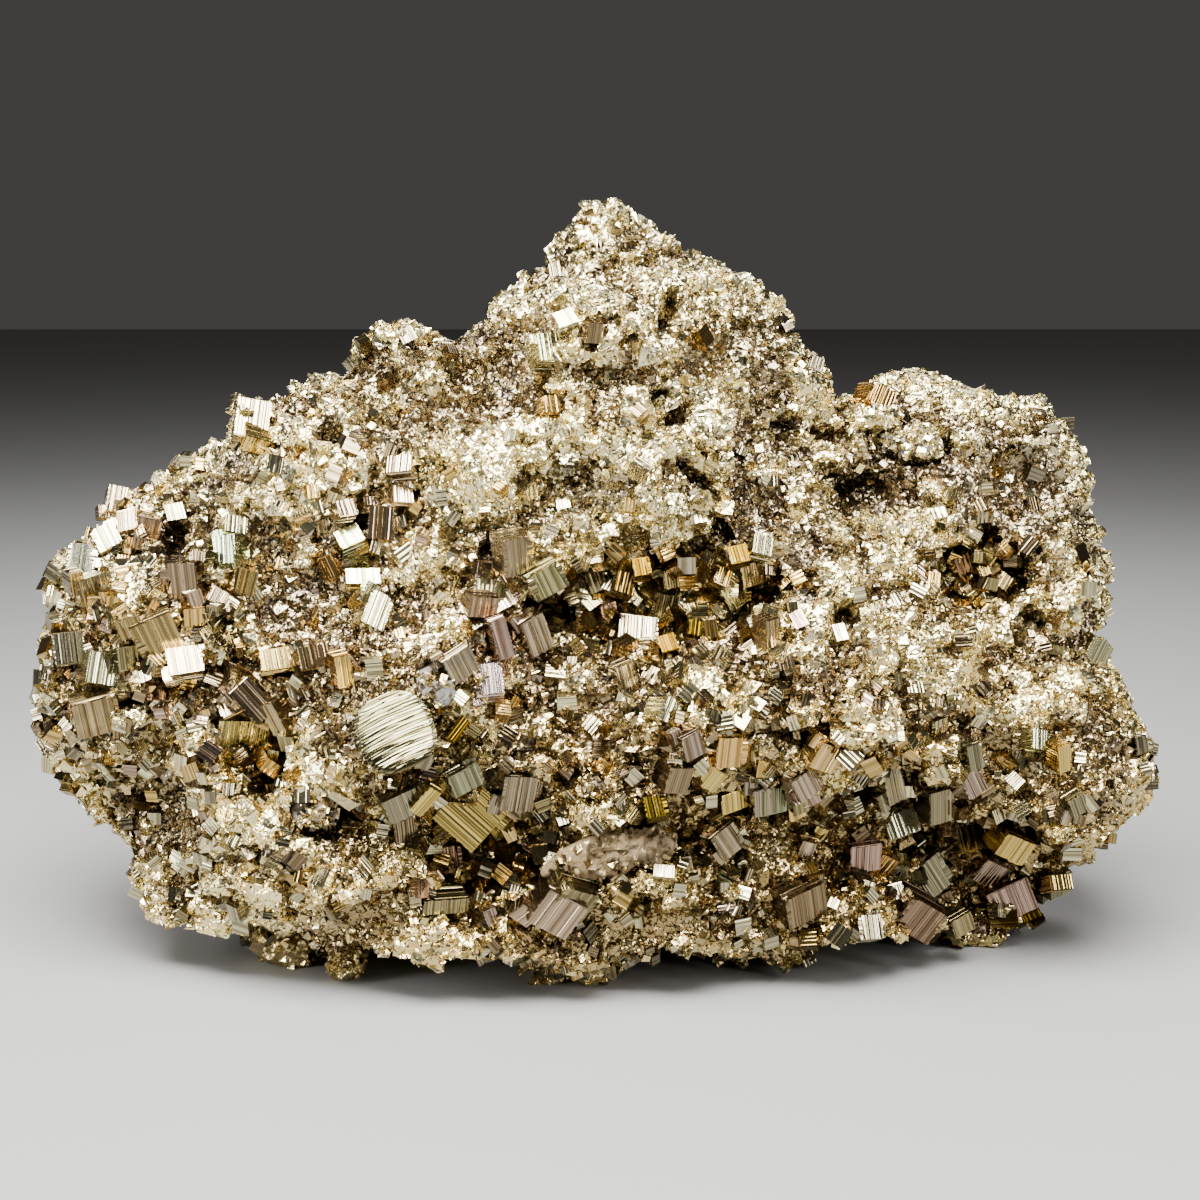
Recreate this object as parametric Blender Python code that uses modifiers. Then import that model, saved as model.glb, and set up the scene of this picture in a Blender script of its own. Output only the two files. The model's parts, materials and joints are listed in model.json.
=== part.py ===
"""A museum piece of massive pyrite, in metres, +Z up, seen from -Y.

One rock of granular pyrite stands on the low points of its underside. Striated crystals
stand out of it, its front holds hollows lined with smaller crystals, and patches of
quartz are set in it. Sizes below are millimetres and angles are degrees.
"""

import math

import bmesh
import bpy
import numpy as np
from mathutils import Matrix, Vector
from mathutils.bvhtree import BVHTree

MM = 0.001

# The silhouette seen from the front, clockwise from the left tip: x and z.
# Its lower stretch runs under the floor, where the underside trims it.
OUTLINE = [
    (-142, 67), (-135, 72), (-131, 80), (-132, 90), (-133, 98), (-123, 104), (-120, 115),
    (-113, 117), (-108, 117), (-104, 124), (-99, 128), (-92, 128), (-89, 135), (-82, 138),
    (-75, 142), (-67, 149), (-60, 153), (-50, 158), (-46, 154), (-38, 148), (-33, 151), (-26, 159),
    (-20, 164), (-14, 167), (-11, 173), (-7, 181), (-5, 184), (2, 184), (7, 180), (13, 179),
    (22, 174), (28, 173), (38, 164), (44, 157), (49, 146), (57, 136), (66, 140), (69, 139),
    (76, 143), (81, 138), (89, 138), (95, 132), (102, 137), (106, 135), (112, 137),
    (118, 126), (121, 122), (123, 110), (128, 105), (124, 85), (117, 79), (124, 75),
    (120, 69), (124, 61), (128, 58), (138, 47), (130, 36), (123, 26), (111, 19), (105, 14),
    (103, 6), (97, -10), (76, -34), (30, -44), (-30, -44), (-62, -32), (-78, -8),
    (-92, 6), (-106, 13), (-113, 22), (-118, 31), (-124, 39), (-129, 43), (-137, 50),
    (-141, 57), (-141, 62),
]
OUTLINE_CENTRE = (0, 80)
OUTLINE_PEAK = 184
# The floor's height in the drawing above.
DRAWN_FLOOR = 5.5
# Moves everything so that the finished piece is centred over the origin.
MIDDLE_X, MIDDLE_Y = 2.74, 9.92

# Half thickness of the rock in front of and behind its rim, at its belly and at its peak.
FRONT_AT_BELLY, FRONT_AT_PEAK = 50, 34
BACK_AT_BELLY, BACK_AT_PEAK = 46, 30
BELLY_HEIGHT = 75
# The rim leans back as it rises: its y at the floor and at the peak.
RIM_AT_FLOOR, RIM_AT_PEAK = -10, 10
# Powers of the rounded cross-section: below 1 makes the face flatter and the rim blunter.
FACE_POWER, RIM_POWER = 0.75, 0.85

# Swells and dips of the front face: x, z, rise towards the viewer, half width, half height.
FRONT_RELIEF = [
    (-45, 70, 6, 20, 17), (-108, 72, 7, 26, 24), (-60, 30, 7, 30, 18), (-25, 25, 3, 24, 14),
    (20, 72, 8, 50, 12), (92, 112, 8, 26, 20), (112, 52, 9, 26, 20), (10, 150, 7, 26, 26),
    (-60, 120, 4, 34, 20), (12, 99, -9, 36, 9), (-24, 42, -9, 20, 9), (-75, 68, -6, 12, 12),
    (84, 104, -8, 12, 9), (84, 26, -16, 24, 13), (30, 52, -5, 30, 6), (45, 122, -4, 22, 16),
    (-20, 132, 4, 16, 16), (60, 84, 5, 22, 10), (45, 24, 4, 30, 14),
]
# The overhanging ledge low on the right: from x to x, its height at both ends, its step.
LEDGE_FROM, LEDGE_TO = -8, 96
LEDGE_LEFT_HEIGHT, LEDGE_RIGHT_HEIGHT = 44, 54
LEDGE_STEP, LEDGE_SHARPNESS, LEDGE_FADE = 4.5, 2.5, 22
# Its edge waves by this height over this length, and it tapers off over a sixth at each end.
LEDGE_WAVE, LEDGE_WAVE_LENGTH, LEDGE_TAPER = 2.5, 7, 6

# Broken ground in three scales: cell size, slope of a cell's face, rise of a cell.
FRACTURES = [(38, 0.30, 2.8), (17, 0.60, 2.2), (9, 0.60, 1.0)]
# A cell's plane is whole up to this share of its size, and then falls at this slope.
CELL_WHOLE, CELL_FALL = 0.45, 0.8
# Share of the broken ground that is left at the silhouette, which is drawn above. It and
# the swells grow to their full height this many times faster than the face turns forward.
FRACTURE_AT_RIM, RELIEF_GROWTH = 0.4, 2

# Feet that reach the floor: x, y, radius. Between them the underside arches up.
FEET = [(-66, -34, 13), (-10, -36, 14), (38, -28, 14), (94, -14, 12), (-66, 22, 16),
        (0, 30, 18), (68, 24, 16)]
ARCH_HEIGHT, ARCH_SLOPE = 11, 1.1
GROUND_CELL = 8
# The rock goes this far below the drawing's zero before its underside is cut.
BURIED = 6
# Half width, half depth and thickness of the solid that cuts the underside.
GROUND_SIZE = (160, 80, 40)

# Fineness of the ball that becomes the rock, and the triangles that the rock keeps.
ROCK_SUBDIVISIONS, ROCK_TRIANGLES = 5, 3000

# Crystals grown on the rock: x, z, width, height, roll in the view, yaw and pitch.
LEFT_LOBE_CRYSTALS = [
    (-123, 101, 7, 8, -4, 24, -8), (-117, 106, 6, 6.5, 32, 30, -20),
    (-119, 113, 6, 7, -6, 38, -14), (-110, 111, 5.5, 5.5, 8, -30, -22),
    (-107, 109, 6, 8.5, -16, 12, 8), (-95, 99, 9.5, 11.5, 3, -16, 6),
    (-101, 88, 10, 9.5, 20, 14, 8), (-94, 82, 8, 6.5, 16, 22, -28),
    (-83, 99, 6, 6, -14, 28, -12), (-85, 106, 6, 7, 4, -22, -16),
    (-119, 95, 7.5, 9.5, 12, 30, 4), (-108, 83, 5.5, 5.5, 4, 30, 0),
    (-90, 91, 6.5, 5.5, 10, -24, 16), (-140, 65, 8, 9, -4, 40, -16),
    (-123, 83, 7, 7.5, 10, 24, -20), (-114, 79, 9.5, 7.5, -6, 28, -24),
    (-115, 71, 10.5, 9, 6, 20, 14), (-82, 75, 11, 6.5, -36, 24, 10),
    (-65, 83, 8, 5.5, 14, 24, -18), (-82, 134, 8, 9.5, -5, 24, -12),
    (-51, 112, 6.5, 8, -5, 12, -6), (-52, 93, 6, 8.5, -20, 22, -30),
]
CENTRE_CRYSTALS = [
    (-45, 70, 18, 17, 27, 20, -10), (-30, 48, 13, 12.5, 46, 10, 4),
    (-19, 54, 9.5, 9, -10, 20, 8), (-44, 54, 11, 6.5, 16, 20, 14),
    (-31, 58, 8, 5.5, 20, 24, 10), (-45, 46, 6, 6, 4, 30, 12), (-10, 30, 10.5, 9.5, -34, 14, 8),
    (-7, 33, 10, 8.5, -34, 30, 14), (-25, 79, 6.5, 7.5, 8, 14, -14),
    (28, 66, 7.5, 7.5, -5, 18, 8), (24, 59, 6, 5.5, -36, 26, 6), (16, 60, 6.5, 6.5, -16, 30, 8),
    (19, 68, 5.5, 6, 14, 30, 12), (15, 73, 8.5, 6, -24, 24, -26), (28, 42, 7, 7, 32, 18, 10),
    (36, 52, 5.5, 7, 4, 20, 12), (-23, 95, 9, 8, 36, 22, -30), (-16, 89, 6.5, 9, 18, 30, 14),
    (-32, 84, 7.5, 6.5, 24, 26, 12), (-12, 151, 7.5, 7, 10, 26, -24),
]
RIGHT_CRYSTALS = [
    (49, 65, 6.5, 6.5, -26, 20, 8), (45, 57, 7, 6, 26, 22, 10), (38, 52, 7, 6.5, 2, 22, 12),
    (66, 53, 5.5, 9.5, 14, 30, 12), (71, 39, 8.5, 6, 20, 18, -16), (79, 46, 7, 9, 4, 22, 12),
    (85, 53, 6, 7, 26, 24, 10), (61, 35, 8, 7, 0, 16, 10), (66, 32, 5.5, 6.5, -34, 24, 8),
    (80, 24, 8.5, 9.5, 32, 16, 10), (97, 36, 9, 6.5, -30, 20, 6), (89, 33, 8.5, 6.5, 12, 24, -18),
    (95, 25, 8, 7, -34, 20, 10), (100, 17, 11.5, 8.5, 22, 24, -8), (98, 13, 7.5, 8, 0, 12, 8),
    (104, 13, 7, 8.5, 26, 30, 8), (78, 14, 11, 9.5, -34, 14, 10), (111, 22, 7.5, 6.5, 6, 30, 12),
    (45, 28, 11, 8.5, 10, 26, 16), (61, 20, 6.5, 6, 6, 26, -24), (118, 79, 7.5, 6.5, -30, 24, -18),
    (66, 139, 7.5, 6, -24, 22, -22),
]
BACK_CRYSTALS = [
    (-96, 92, 10, 9, 12, 26, 14), (-62, 54, 8, 8, -24, 20, -16), (-24, 112, 9, 10, 30, 16, 10),
    (10, 62, 12, 11, -18, 24, 12), (42, 118, 8, 7, 8, 30, -18), (78, 82, 10, 10, 34, 18, 12),
    (94, 48, 8, 7, -12, 28, 10), (-112, 60, 8, 9, 20, 22, -14), (-44, 136, 7, 7, -30, 24, 12),
    (22, 30, 9, 8, 14, 20, 16),
]
# How far a crystal's middle lies behind the face, as a share of its width, and the most
# that it measures from front to back.
CRYSTAL_SINK, CRYSTAL_DEPTH = 0.12, 9

# Hollows in the front: x, z, half width, half height, depth, roll, crystals, crystal size.
HOLLOWS = {
    "hollow_crystals_centre": (12, 95, 34, 10.5, 14, 4, 12, 6.5),
    "hollow_crystals_left": (-79, 61, 9, 13.5, 15, 24, 5, 6.5),
    "hollow_crystals_right": (90, 99, 11, 8, 12, 0, 4, 5.5),
    "hollow_crystals_lower": (-27, 34, 17, 8, 13, -6, 6, 6.5),
}
CRUST_THICKNESS = 2.2
# The crust's crystals cover this share of its width. Their size swings between these shares
# of the size above by this many radians from one to the next, and each angle grows by so
# many degrees up to a limit.
CRUST_COVER = 0.8
CRUST_SIZES, CRUST_SIZE_STEP = (0.8, 1.2), 2.4
CRUST_ANGLES = [(37, 90), (23, 50), (31, 40)]
NODE_GAP = 0.3
# How far the crust's rim stays behind the hollow's mouth, as a share of the depth.
RIM_SETBACK = 0.25

# Patches of quartz: x, z, half width, half height, half thickness, roll.
QUARTZ = {
    "quartz_patch_left": (-37, 78, 5.5, 5.5, 4, 0),
    "quartz_patch_low": (-64, 49, 5.5, 4.5, 4, 20),
    "quartz_patch_middle": (-1, 56, 3.2, 4, 3, 0),
    "quartz_band": (4, 41, 17, 5.5, 4, 14),
    "quartz_patch_top": (76, 129, 8, 4, 4, -8),
}
# How far a patch stands proud of the rock, as a share of its half thickness, and how much
# larger its socket is all round.
QUARTZ_PROUD, SOCKET_GAP = 0.4, 0.39
# The lump's surface waves by this share, with these numbers of radians per radius.
LUMP_WAVE, LUMP_WAVES = 0.08, (5, 3, 4)


def hashed(cells, salt):
    """Random numbers from 0 to 1 for whole-number cells: the fraction of a large sine."""
    mixed = cells @ np.array([127.1, 311.7, 74.7]) + salt * 53.3
    return np.modf(np.abs(np.sin(mixed) * 43758.5453))[0]


def fracture(points, size, slope, rise, salt):
    """Height of broken ground: the highest of many small tilted planes.

    Every cube of that size holds one seed with a plane of its own, which is flat near
    the seed and falls away beyond it, so that neighbours meet in sharp valleys.
    """
    home = np.floor(points / size)
    height = np.full(len(points), -np.inf)
    for step in np.ndindex(3, 3, 3):
        cell = home + np.array(step) - 1
        spot = np.stack([hashed(cell, salt + axis) for axis in range(3)], axis=1)
        dice = np.stack([hashed(cell, salt + 7 + axis) for axis in range(3)], axis=1) * 2 - 1
        away = points - (cell + spot) * size
        plane = (away * dice).sum(axis=1) * slope + dice[:, 0] * rise
        beyond = np.linalg.norm(away, axis=1) - size * CELL_WHOLE
        height = np.maximum(height, plane - np.maximum(beyond, 0) * CELL_FALL)
    return height - height.mean()


def outline_radius(angle):
    """Distance from the outline's centre to the outline, along an angle."""
    corners = np.array(OUTLINE, float) - OUTLINE_CENTRE
    angles = np.arctan2(corners[:, 1], corners[:, 0])
    order = np.argsort(angles)
    return np.interp(
        angle, angles[order], np.hypot(*corners.T)[order], period=2 * math.pi
    )


def blend(low, high, share):
    """The value that lies that share of the way from low to high."""
    share = np.clip(share, 0, 1)
    return low + (high - low) * share


def front_rise(x, z):
    """How far the front face stands forward of its plain curve."""
    rise = np.zeros_like(x)
    for at_x, at_z, height, half_x, half_z in FRONT_RELIEF:
        rise += height * np.exp(-(((x - at_x) / half_x) ** 2) - ((z - at_z) / half_z) ** 2)
    along = (x - LEDGE_FROM) / (LEDGE_TO - LEDGE_FROM)
    edge = blend(LEDGE_LEFT_HEIGHT, LEDGE_RIGHT_HEIGHT, along)
    edge = edge + LEDGE_WAVE * np.sin(x / LEDGE_WAVE_LENGTH)
    here = np.clip(along * LEDGE_TAPER, 0, 1) * np.clip((1 - along) * LEDGE_TAPER, 0, 1)
    near = np.exp(-(((z - edge) / LEDGE_FADE) ** 2))
    return rise + LEDGE_STEP * here * near * np.tanh((z - edge) / LEDGE_SHARPNESS)


def underside(x, y):
    """Height of the rock's underside: the floor at the feet, arched between them."""
    away = min(math.hypot(x - at_x, y - at_y) - radius for at_x, at_y, radius in FEET)
    return DRAWN_FLOOR + min(max(away * ARCH_SLOPE, 0), ARCH_HEIGHT)


def rock_points(directions):
    """Points of the smooth rock for unit directions from its middle.

    x and z run out from the outline's centre to the outline, and y is a rounded
    cross-section in front of and behind the leaning rim.
    """
    across, depth, up = directions.T
    reach = np.hypot(across, up) ** RIM_POWER
    turn = np.arctan2(up, across)
    radius = outline_radius(turn)
    x = OUTLINE_CENTRE[0] + radius * reach * np.cos(turn)
    z = OUTLINE_CENTRE[1] + radius * reach * np.sin(turn)
    rising = (z - BELLY_HEIGHT) / (OUTLINE_PEAK - BELLY_HEIGHT)
    front = blend(FRONT_AT_BELLY, FRONT_AT_PEAK, rising)
    back = blend(BACK_AT_BELLY, BACK_AT_PEAK, rising)
    bulge = np.abs(depth) ** FACE_POWER
    rim = blend(RIM_AT_FLOOR, RIM_AT_PEAK, z / OUTLINE_PEAK)
    forward = front * bulge + front_rise(x, z) * np.minimum(bulge * RELIEF_GROWTH, 1)
    y = np.where(depth < 0, rim - forward, rim + back * bulge)
    return np.stack([x, y, z], axis=1)


def vertex_array(mesh, what="co"):
    """A mesh's vertex positions or normals as an array of rows."""
    values = np.empty(len(mesh.vertices) * 3)
    mesh.vertices.foreach_get(what, values)
    return values.reshape(-1, 3)


def bare_rock_mesh():
    """The rock without crystals and hollows: a ball pulled to shape and broken up."""
    shape = bmesh.new()
    bmesh.ops.create_icosphere(shape, subdivisions=ROCK_SUBDIVISIONS, radius=1)
    mesh = bpy.data.meshes.new("rock")
    shape.to_mesh(mesh)
    shape.free()
    directions = vertex_array(mesh)
    points = rock_points(directions)
    mesh.vertices.foreach_set("co", points.ravel())
    mesh.update()
    normals = vertex_array(mesh, "normal")
    share = blend(FRACTURE_AT_RIM, 1, np.abs(directions[:, 1]) * RELIEF_GROWTH)[:, None]
    for salt, (size, slope, rise) in enumerate(FRACTURES):
        points = points + normals * share * fracture(points, size, slope, rise, salt)[:, None]
    points[:, 2] = np.maximum(points[:, 2], -BURIED)
    mesh.vertices.foreach_set("co", points.ravel())
    mesh.update()
    return mesh


def tree_of(mesh):
    """A search tree that finds where a straight line meets the mesh."""
    return BVHTree.FromPolygons(
        [vertex.co for vertex in mesh.vertices], [face.vertices for face in mesh.polygons]
    )


def on_face(tree, x, z, side=-1):
    """The rock's outermost point at this x and z: side -1 is the front and 1 the back."""
    far = 300
    hit = tree.ray_cast(Vector((x, side * far, z)), Vector((0, -side, 0)))[0]
    if hit is None:
        hit = tree.find_nearest(Vector((x, 0, z)))[0]
    return hit


def turned(roll, yaw=0, pitch=0):
    """A rotation: yaw about the upright, then pitch, then roll as the viewer sees it."""
    roll, yaw, pitch = (math.radians(angle) for angle in (roll, yaw, pitch))
    return (
        Matrix.Rotation(-roll, 4, "Y") @ Matrix.Rotation(pitch, 4, "X")
        @ Matrix.Rotation(yaw, 4, "Z")
    )


def sized(x, y, z):
    return Matrix.Diagonal((x, y, z, 1))


def new_object(name, shape, place, collection):
    """An object from a bmesh drawn in millimetres, moved by the matrix place."""
    mesh = bpy.data.meshes.new(name)
    centred = Matrix.Translation((MIDDLE_X, MIDDLE_Y, -DRAWN_FLOOR))
    shape.transform(Matrix.Scale(MM, 4) @ centred @ place)
    bmesh.ops.recalc_face_normals(shape, faces=shape.faces)
    shape.to_mesh(mesh)
    shape.free()
    made = bpy.data.objects.new(name, mesh)
    collection.objects.link(made)
    return made


def new_helper(name, shape, place, collection):
    """An object that cuts or joins others and is no part of its own."""
    made = new_object(name, shape, place, collection)
    made.hide_render = True
    made.display_type = "WIRE"
    return made


def add_boolean(target, operation, operand):
    """Cuts, joins or intersects the target with one object or a collection."""
    tool = target.modifiers.new(operation.lower(), "BOOLEAN")
    tool.operation = operation
    tool.solver = "EXACT"
    if isinstance(operand, bpy.types.Collection):
        tool.operand_type = "COLLECTION"
        tool.collection = operand
    else:
        tool.object = operand


def new_material(name, colour, metallic, roughness):
    """A Principled material of one colour."""
    made = bpy.data.materials.new(name)
    made.use_nodes = True
    shader = made.node_tree.nodes["Principled BSDF"]
    shader.inputs["Base Color"].default_value = (*colour, 1)
    shader.inputs["Metallic"].default_value = metallic
    shader.inputs["Roughness"].default_value = roughness
    return made


def block(width, depth, height):
    shape = bmesh.new()
    bmesh.ops.create_cube(shape, size=1, matrix=sized(width, depth, height))
    return shape


def ground():
    """A solid whose top is the rock's underside, to cut the rock with."""
    half_width, half_depth, thickness = GROUND_SIZE
    shape = bmesh.new()
    bmesh.ops.create_grid(
        shape, x_segments=2 * half_width // GROUND_CELL,
        y_segments=2 * half_depth // GROUND_CELL, size=1, matrix=sized(half_width, half_depth, 1),
    )
    for point in shape.verts:
        point.co.z = underside(point.co.x, point.co.y)
    sides = bmesh.ops.extrude_face_region(shape, geom=list(shape.faces), use_keep_orig=True)
    for item in sides["geom"]:
        if isinstance(item, bmesh.types.BMVert):
            item.co.z = -thickness
    return shape


def egg(width, depth, height, around=12, rings=7):
    """An ellipsoid with its poles towards the viewer and away."""
    shape = bmesh.new()
    bmesh.ops.create_uvsphere(shape, u_segments=around, v_segments=rings, radius=1)
    shape.transform(sized(width, depth, height) @ Matrix.Rotation(math.pi / 2, 4, "X"))
    return shape


def add_crystals(tree, collection):
    """The crystals that stand out of the rock, front and back."""
    rows = [(row, -1) for row in LEFT_LOBE_CRYSTALS + CENTRE_CRYSTALS + RIGHT_CRYSTALS]
    rows += [(row, 1) for row in BACK_CRYSTALS]
    for number, ((x, z, width, height, roll, yaw, pitch), side) in enumerate(rows):
        depth = min((width + height) / 2, CRYSTAL_DEPTH)
        middle = on_face(tree, x, z, side) - Vector((0, side * CRYSTAL_SINK * width, 0))
        place = Matrix.Translation(middle) @ turned(roll, yaw, pitch)
        new_helper(f"crystal_{number:02d}", block(width, depth, height), place, collection)


def make_hollow(tree, name, values, parts, helpers, cutters):
    """One hollow's crust: a bowl with crystals on its inside, kept within the hollow."""
    x, z, half_width, half_height, depth, roll, count, crystal_size = values
    place = Matrix.Translation(on_face(tree, x, z)) @ turned(roll)
    new_helper(f"{name}_cut", egg(half_width, depth, half_height), place, cutters)

    inside = [half_width - NODE_GAP, depth - NODE_GAP, half_height - NODE_GAP]
    limit = new_helper(f"{name}_limit", egg(*inside), place, helpers)
    bowl = egg(*[radius - NODE_GAP for radius in inside])
    front = [point for point in bowl.verts if point.co.y < depth * RIM_SETBACK]
    bmesh.ops.delete(bowl, geom=front, context="VERTS")
    crust = new_object(name, bowl, place, parts)
    wall = crust.modifiers.new("thickness", "SOLIDIFY")
    wall.thickness = CRUST_THICKNESS * MM
    wall.offset = -1

    grown = bpy.data.collections.new(f"{name}_grown")
    helpers.children.link(grown)
    for number in range(count):
        # A sunflower's spacing covers the bowl evenly.
        out = math.sqrt((number + 0.5) / count) * CRUST_COVER
        turn = number * math.pi * (3 - math.sqrt(5))
        spot = Vector((
            math.cos(turn) * out * half_width,
            math.sqrt(1 - out * out) * depth - CRUST_THICKNESS,
            math.sin(turn) * out * half_height,
        ))
        swing = math.sin(number * CRUST_SIZE_STEP) ** 2
        size = crystal_size * float(blend(*CRUST_SIZES, swing))
        lean = turned(*(number * step % limit for step, limit in CRUST_ANGLES))
        new_helper(
            f"{name}_{number:02d}", block(size, size, size),
            place @ Matrix.Translation(spot) @ lean, grown,
        )
    add_boolean(crust, "UNION", grown)
    add_boolean(crust, "INTERSECT", limit)
    return crust


def lump(width, depth, height):
    """A rounded lump with a few broken faces."""
    shape = bmesh.new()
    bmesh.ops.create_icosphere(shape, subdivisions=2, radius=1)
    across, up, cross = LUMP_WAVES
    for point in shape.verts:
        wave = math.sin(point.co.x * across + point.co.z * up) * math.cos(point.co.z * cross)
        point.co *= 1 + LUMP_WAVE * wave
    shape.transform(sized(width, depth, height))
    return shape


def make_quartz(tree, name, values, parts, cutters):
    """One patch of quartz and the socket that it fills."""
    x, z, half_width, half_height, half_depth, roll = values
    behind = Vector((0, half_depth * (1 - QUARTZ_PROUD), 0))
    place = Matrix.Translation(on_face(tree, x, z) + behind) @ turned(roll)
    sizes = [half_width, half_depth, half_height]
    new_helper(f"{name}_cut", lump(*[size + SOCKET_GAP for size in sizes]), place, cutters)
    return new_object(name, lump(*sizes), place, parts)


def make_rock(mesh, parts, crystals, cutters):
    """The rock, thinned, with its crystals joined on and its hollows cut out."""
    shape = bmesh.new()
    shape.from_mesh(mesh)
    rock = new_object("pyrite_rock", shape, Matrix.Identity(4), parts)
    thin = rock.modifiers.new("facets", "DECIMATE")
    thin.ratio = ROCK_TRIANGLES / len(mesh.polygons)
    add_boolean(rock, "UNION", crystals)
    add_boolean(rock, "DIFFERENCE", cutters)
    return rock


def main():
    for old in list(bpy.data.objects):
        bpy.data.objects.remove(old)
    parts, helpers, crystals, cutters = (
        bpy.data.collections.new(name)
        for name in ("pyrite specimen", "helpers", "crystals", "cutters")
    )
    for collection in (parts, helpers):
        bpy.context.scene.collection.children.link(collection)
    for collection in (crystals, cutters):
        helpers.children.link(collection)
    helpers.hide_render = True

    pyrite = new_material("pyrite", (0.62, 0.52, 0.32), 1.0, 0.35)
    crust_pyrite = new_material("crystal_pyrite", (0.58, 0.44, 0.24), 1.0, 0.25)
    quartz = new_material("quartz", (0.62, 0.6, 0.56), 0.0, 0.5)

    mesh = bare_rock_mesh()
    tree = tree_of(mesh)
    add_crystals(tree, crystals)
    for name, values in HOLLOWS.items():
        crust = make_hollow(tree, name, values, parts, helpers, cutters)
        crust.data.materials.append(crust_pyrite)
    for name, values in QUARTZ.items():
        patch = make_quartz(tree, name, values, parts, cutters)
        patch.data.materials.append(quartz)
    new_helper("ground_cut", ground(), Matrix.Identity(4), cutters)
    rock = make_rock(mesh, parts, crystals, cutters)
    rock.data.materials.append(pyrite)


if __name__ == "__main__":
    main()
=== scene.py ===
# %% [markdown]
# This lesson dresses a measured model of a museum piece: a rock of massive pyrite that
# stands by itself on a table. The model gives its form at true size. Here it gets what
# makes pyrite look like pyrite: tens of thousands of bright broken grains, cube crystals
# with grooved faces, dark hollows lined with more crystals, and dull patches of quartz.
# The first cell loads the model. Nothing in it is moved, so each new piece is made in place.

# %% Load the measured model
import json
import math

import bpy
import numpy as np
from mathutils import Matrix, Vector
from mathutils.bvhtree import BVHTree

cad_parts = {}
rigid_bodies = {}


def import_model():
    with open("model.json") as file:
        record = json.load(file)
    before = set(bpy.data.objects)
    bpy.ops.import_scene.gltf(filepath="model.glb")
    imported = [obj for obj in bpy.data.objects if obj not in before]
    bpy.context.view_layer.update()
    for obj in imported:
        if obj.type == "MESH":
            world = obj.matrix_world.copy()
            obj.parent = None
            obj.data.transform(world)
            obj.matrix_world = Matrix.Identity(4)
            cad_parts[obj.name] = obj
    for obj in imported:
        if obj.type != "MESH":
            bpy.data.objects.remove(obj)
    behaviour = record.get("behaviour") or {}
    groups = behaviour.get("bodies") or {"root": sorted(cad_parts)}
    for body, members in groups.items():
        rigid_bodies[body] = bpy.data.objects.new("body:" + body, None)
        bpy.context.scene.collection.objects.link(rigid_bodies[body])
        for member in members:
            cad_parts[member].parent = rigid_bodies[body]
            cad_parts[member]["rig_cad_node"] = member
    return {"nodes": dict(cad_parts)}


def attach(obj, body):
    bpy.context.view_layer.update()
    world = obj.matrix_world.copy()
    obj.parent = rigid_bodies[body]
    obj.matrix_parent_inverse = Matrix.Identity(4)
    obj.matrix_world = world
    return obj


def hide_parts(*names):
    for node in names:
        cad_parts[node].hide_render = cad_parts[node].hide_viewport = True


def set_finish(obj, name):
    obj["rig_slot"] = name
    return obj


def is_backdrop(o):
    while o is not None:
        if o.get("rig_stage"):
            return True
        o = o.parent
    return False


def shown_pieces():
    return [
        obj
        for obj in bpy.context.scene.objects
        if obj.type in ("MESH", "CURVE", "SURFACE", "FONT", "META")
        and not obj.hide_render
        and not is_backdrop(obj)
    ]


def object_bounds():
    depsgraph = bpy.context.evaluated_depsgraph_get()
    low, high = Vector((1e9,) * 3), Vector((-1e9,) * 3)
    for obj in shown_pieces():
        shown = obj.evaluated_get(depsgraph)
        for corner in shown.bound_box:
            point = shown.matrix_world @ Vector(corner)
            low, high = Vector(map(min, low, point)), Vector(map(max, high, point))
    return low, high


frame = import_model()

MM = 0.001
cad_box = [list(corner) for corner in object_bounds()]
print("the model measures", [round((high - low) / MM) for low, high in zip(*cad_box)], "mm")

# %% [markdown]
# The camera stands half a metre in front of the rock and looks down on it by ten degrees,
# as someone does who bends over a table. The lens takes in 34 degrees. A camera looks
# along its own -Z, so its turn is worked out from the line between it and its target.

# %% Place the camera
CAMERA_PLACE = (2.7, -472.7, 167.8)
CAMERA_TARGET = (2.7, 9.9, 82.7)
LENS_ANGLE = 34


def look_at(item, place, target):
    """Puts an object at a place, turned so that its -Z points to the target."""
    item.location = Vector(place) * MM
    line = Vector(target) - Vector(place)
    item.rotation_euler = line.to_track_quat("-Z", "Y").to_euler()


camera = bpy.data.objects.new("camera", bpy.data.cameras.new("camera"))
bpy.context.scene.collection.objects.link(camera)
camera.data.angle = math.radians(LENS_ANGLE)
look_at(camera, CAMERA_PLACE, CAMERA_TARGET)
bpy.context.scene.camera = camera
print("camera to rock:", round((Vector(CAMERA_TARGET) - Vector(CAMERA_PLACE)).length), "mm")

# %% [markdown]
# Metal shows what it reflects, so the lights matter more here than on a dull object. One
# large soft panel hangs over the front, and facets that lean up or forward catch it and
# turn almost white. Two narrow panels at the sides give edges a glint, and a weak one
# lights the back. The room itself is dim, so facets that look down or sideways stay brown,
# which is where the contrast of broken metal comes from.

# %% Set up the lights
ROOM_COLOUR, ROOM_STRENGTH = (0.68, 0.66, 0.62, 1), 0.085
# Each light's place, the point it faces, its width and height, and its watts.
LIGHTS = {
    "panel_above": ((-60, -260, 640), (0, 0, 70), (660, 400), 32),
    "panel_left": ((-600, -300, 240), (0, 0, 90), (120, 440), 4.5),
    "panel_right": ((540, -400, 300), (0, 0, 90), (90, 380), 3.0),
    "panel_behind": ((120, 520, 520), (0, 0, 100), (500, 240), 2.0),
}
for name, (place, target, (width, height), watts) in LIGHTS.items():
    lamp = bpy.data.lights.new(name, "AREA")
    lamp.shape = "RECTANGLE"
    lamp.size, lamp.size_y, lamp.energy = width * MM, height * MM, watts
    panel = bpy.data.objects.new(name, lamp)
    bpy.context.scene.collection.objects.link(panel)
    look_at(panel, place, target)

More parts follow.
